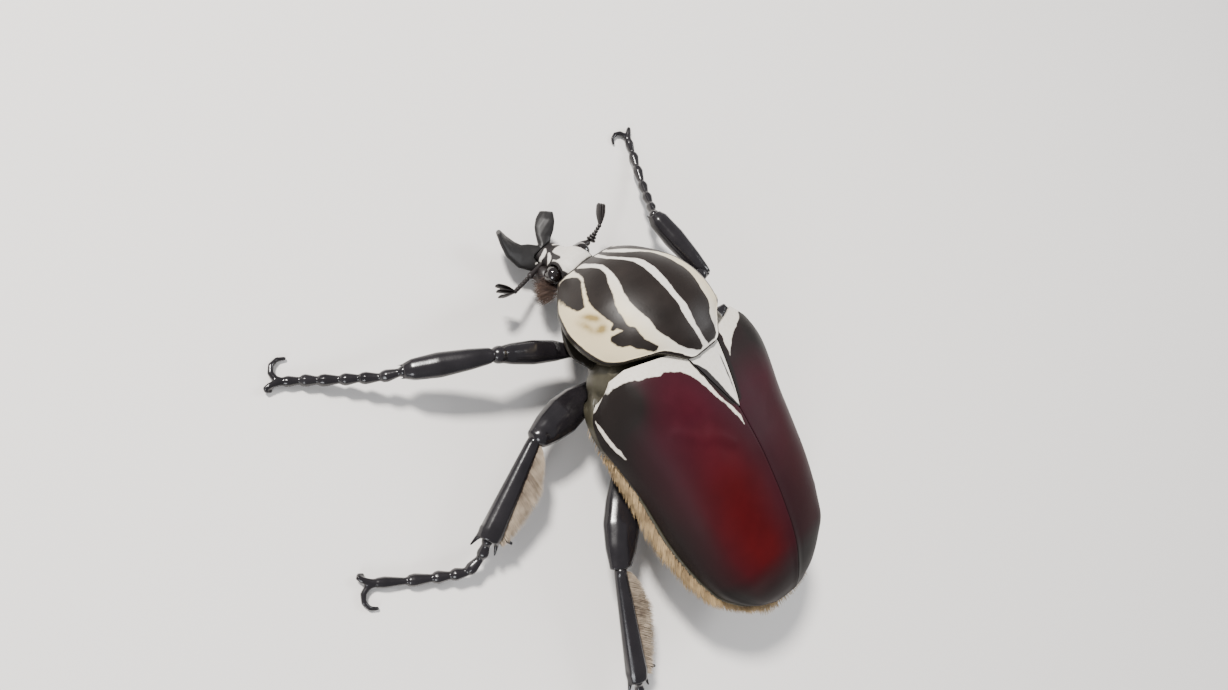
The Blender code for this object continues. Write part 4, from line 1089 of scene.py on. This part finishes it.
def paint_head(obj):
    rel = own(get_points(obj)) - NECK
    hx, hy, hz = rel @ head_side, rel @ head_forward, rel @ head_up
    white = outline_distance(hx, hy, FOREHEAD)
    for stripe in SNOUT_STRIPES:
        white = np.minimum(white, stripe_distance(hx, hy, stripe))
    low = np.interp(hy, LOW_AT, LOW_EDGE) - hz
    gaps = (np.abs(hx) - SOCKET[0]) ** 2 + (hy - SOCKET[1]) ** 2 + (hz - SOCKET[2]) ** 2
    socket = SOCKET_RADIUS - np.sqrt(gaps)
    store(obj, "black", -np.maximum(white, np.maximum(low, socket)))


for node, name, slot, voxel, dark in (("head", "head_shell", "head_white", 0.14, DARK_BROWN),
                                      ("horn", "forked_horn", "horn_black", 0.12, HORN_DARK)):
    piece = smoothed_copy(name, node, voxel, rounds=8, swell=0.04)
    paint_head(piece)
    finish_piece(piece, white_and_black(slot, dark), slot, node)

# %% Eyes
EYE_RADIUS, FACETS = 1.9, 9000.0


def eye_material():
    made, tree, place, _ = start_material("eye_dark", 0.10, 0.002, FACETS, 500.0, 0.5)
    facets = tree.nodes.new("ShaderNodeTexVoronoi")
    settle(facets, {"Scale": FACETS})
    tree.links.new(place, facets.inputs["Vector"])
    tone = blend(tree, facets.outputs["Distance"], (0.003, 0.002, 0.002), (0.009, 0.006, 0.005))
    return coloured(made, tone, {"Coat Weight": 0.8, "Coat Roughness": 0.05})


EYE_DARK = eye_material()
for side in ("left", "right"):
    low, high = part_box(f"eye_{side}")
    middle = [(a + b) / 2 for a, b in zip(low, high)]
    bpy.ops.mesh.primitive_ico_sphere_add(subdivisions=5, radius=EYE_RADIUS * MM, location=middle)
    eye, _ = just_added(f"eye_ball_{side}")
    bpy.ops.object.transform_apply(location=True, rotation=True, scale=True)
    smooth_shade(eye)
    finish_piece(eye, EYE_DARK, "eye_dark", f"eye_{side}")

# %% [markdown]
# ## The trunk under the wing cases
#
# Thorax, abdomen and tail plate are one olive-black skin, with a fringe of tan hair along
# its sides and hair on the tail plate, the belly and the throat.

# %% Trunk skin
SIDE_PLATE, SIDE_PLATE_SIZE, FRONT_NARROWED = (11.8, 9.6, 16.6), (6.0, 4.6, 7.2), 0.10
trunk = copy_solids("trunk_skin", ["thorax", "abdomen", "prosternum", "tail_plate"])
trunk_points = own(get_points(trunk))
front = ramp(trunk_points[:, 1], 9.0, 3.0) * ramp(np.abs(trunk_points[:, 0]), 8, 6)
trunk_points[:, 0] *= 1 - FRONT_NARROWED * front
set_points(trunk, trunk_points)
for sign in (-1, 1):
    add_ball(trunk, (sign * SIDE_PLATE[0], *SIDE_PLATE[1:]), 1.0, SIDE_PLATE_SIZE)
even_out(trunk, voxel=0.42, rounds=8)
store(trunk, "front", ramp(own(get_points(trunk))[:, 1], 12.5, 2.0))


def olive_shell():
    made, tree, place, wear = start_material("body_olive", 0.42, 0.05, 1100.0, 300.0, 0.3)
    tone = blend(tree, wear, (0.018, 0.016, 0.010), (0.062, 0.055, 0.035))
    pale = noise(tree, place, 260.0, 4.0, 0.6)
    streak = maths(tree, "MULTIPLY", maths(tree, "SUBTRACT", pale, 0.58), 6.0, clamp=True)
    tone = blend(tree, maths(tree, "MULTIPLY", streak, 0.4), tone, (0.26, 0.23, 0.17))
    return coloured(made, blend(tree, stored(tree, "front"), tone, (0.020, 0.016, 0.012)))


finish_piece(trunk, olive_shell(), "body_olive", "thorax", "abdomen", "prosternum", "tail_plate")

# %% Hair along the sides and the tail
FRINGE_HAIRS, FRINGE_FIRST, FRINGE_LAST, FRINGE_FADE = 9900, 0.16, 0.999, 0.12
FRINGE_AT, FRINGE_SHARES = [0.16, 0.26, 0.45, 0.8, 1.0], [0.2, 0.6, 1.0, 0.9, 0.7]
LEFT_SHARE = 0.55


def fringe_hairs():
    hairs = []
    for _ in range(FRINGE_HAIRS):
        s = HAIR_RNG.uniform(FRINGE_FIRST, FRINGE_LAST)
        if HAIR_RNG.random() > 0.1 + (s - FRINGE_FIRST) / FRINGE_FADE:
            continue
        sign = -1 if HAIR_RNG.random() < LEFT_SHARE else 1
        edge, near = vault(np.array([s, min(s + 0.01, 1.0)]), np.full(2, float(sign)))
        along = unit(near - edge)
        out = unit(np.cross(along, (0, 0, 1)) * -sign)
        drop = HAIR_RNG.uniform(0.5, 4.2)
        reach = HAIR_RNG.uniform(1.6, 4.2) * float(np.interp(s, FRINGE_AT, FRINGE_SHARES))
        root = edge - out * (0.5 + 0.15 * drop) - np.array([0, 0, drop])
        tip = root + out * reach * 0.72 + along * reach * 0.9 - np.array([0, 0, reach * 0.18])
        spot = (0.5 + sign * (0.05 + 0.1 * drop), 0.05 + 0.9 * s)
        hairs.append((root, tip, (0, 0, -0.15), HAIR_RNG.uniform(0.05, 0.085), spot))
    return hairs


hair_piece("side_fringe", fringe_hairs(), HAIR_PALE)

# %% Hair over the tail plate and the rings of the belly
def skin_hairs(obj, count, wanted, reach):
    """Hairs rooted on a skin, lying towards the rear, where wanted(x, y, nz) allows."""
    tree = BVHTree.FromObject(obj, bpy.context.evaluated_depsgraph_get())
    low, high = own(get_points(obj)).min(0), own(get_points(obj)).max(0)
    hairs = []
    while len(hairs) < count:
        spot = np.array([HAIR_RNG.uniform(low[k], high[k]) for k in range(3)])
        place, normal, _, _ = tree.find_nearest(Vector(mm(spot)))
        x, y, z = own(place)
        if not wanted(x, y, normal.z):
            continue
        root = np.array([x, y, z]) - np.array(normal) * 0.15
        way = unit(np.array(normal) * 0.45 + np.array([0.12 * np.sign(x), -0.9, -0.25]))
        tip = root + way * HAIR_RNG.uniform(0.6, 1.0) * reach
        u = 0.5 + math.atan2(x, -z + 12.0) / 7.0
        hairs.append((root, tip, (0, 0, -0.15), 0.055, (u, 0.5 + y / 110.0)))
    return hairs


def on_tail(x, y, nz):
    return y < -43.0


def on_belly(x, y, nz):
    return nz < -0.3 and y < 4 and (y > -12 or abs(x) > 11)


TAIL_HAIRS, BELLY_HAIRS = 2600, 3800
hair_piece("tail_hair", skin_hairs(trunk, TAIL_HAIRS, on_tail, reach=2.0), HAIR_PALE)
hair_piece("belly_hair", skin_hairs(trunk, BELLY_HAIRS, on_belly, reach=1.8), HAIR_PALE)

# %% Hair at the throat, dark brown: partly real hair, partly painted shade under the head
THROAT_FRONT, THROAT_REAR = np.array([-6.6, 35.2, 5.0]), np.array([-10.5, 30.2, 8.0])
THROAT_HAIRS = 1500


def throat_hairs():
    hairs = []
    for _ in range(THROAT_HAIRS):
        t = HAIR_RNG.random()
        base = THROAT_FRONT * (1 - t) + THROAT_REAR * t
        root = base + np.array([HAIR_RNG.uniform(-1.2, 1.2), HAIR_RNG.uniform(-1, 1),
                                HAIR_RNG.uniform(-1.8, 1.5)])
        way = unit((-1.0, HAIR_RNG.uniform(-0.2, 0.8), HAIR_RNG.uniform(-0.7, 0.2)))
        tip = root + way * HAIR_RNG.uniform(1.2, 2.4)
        hairs.append((root, tip, (0, 0, -0.2), 0.05, (0.2 + 0.5 * t, 0.5)))
    return hairs


hair_piece("throat_hair", throat_hairs(), DARK_HAIR_AND_SHADE)
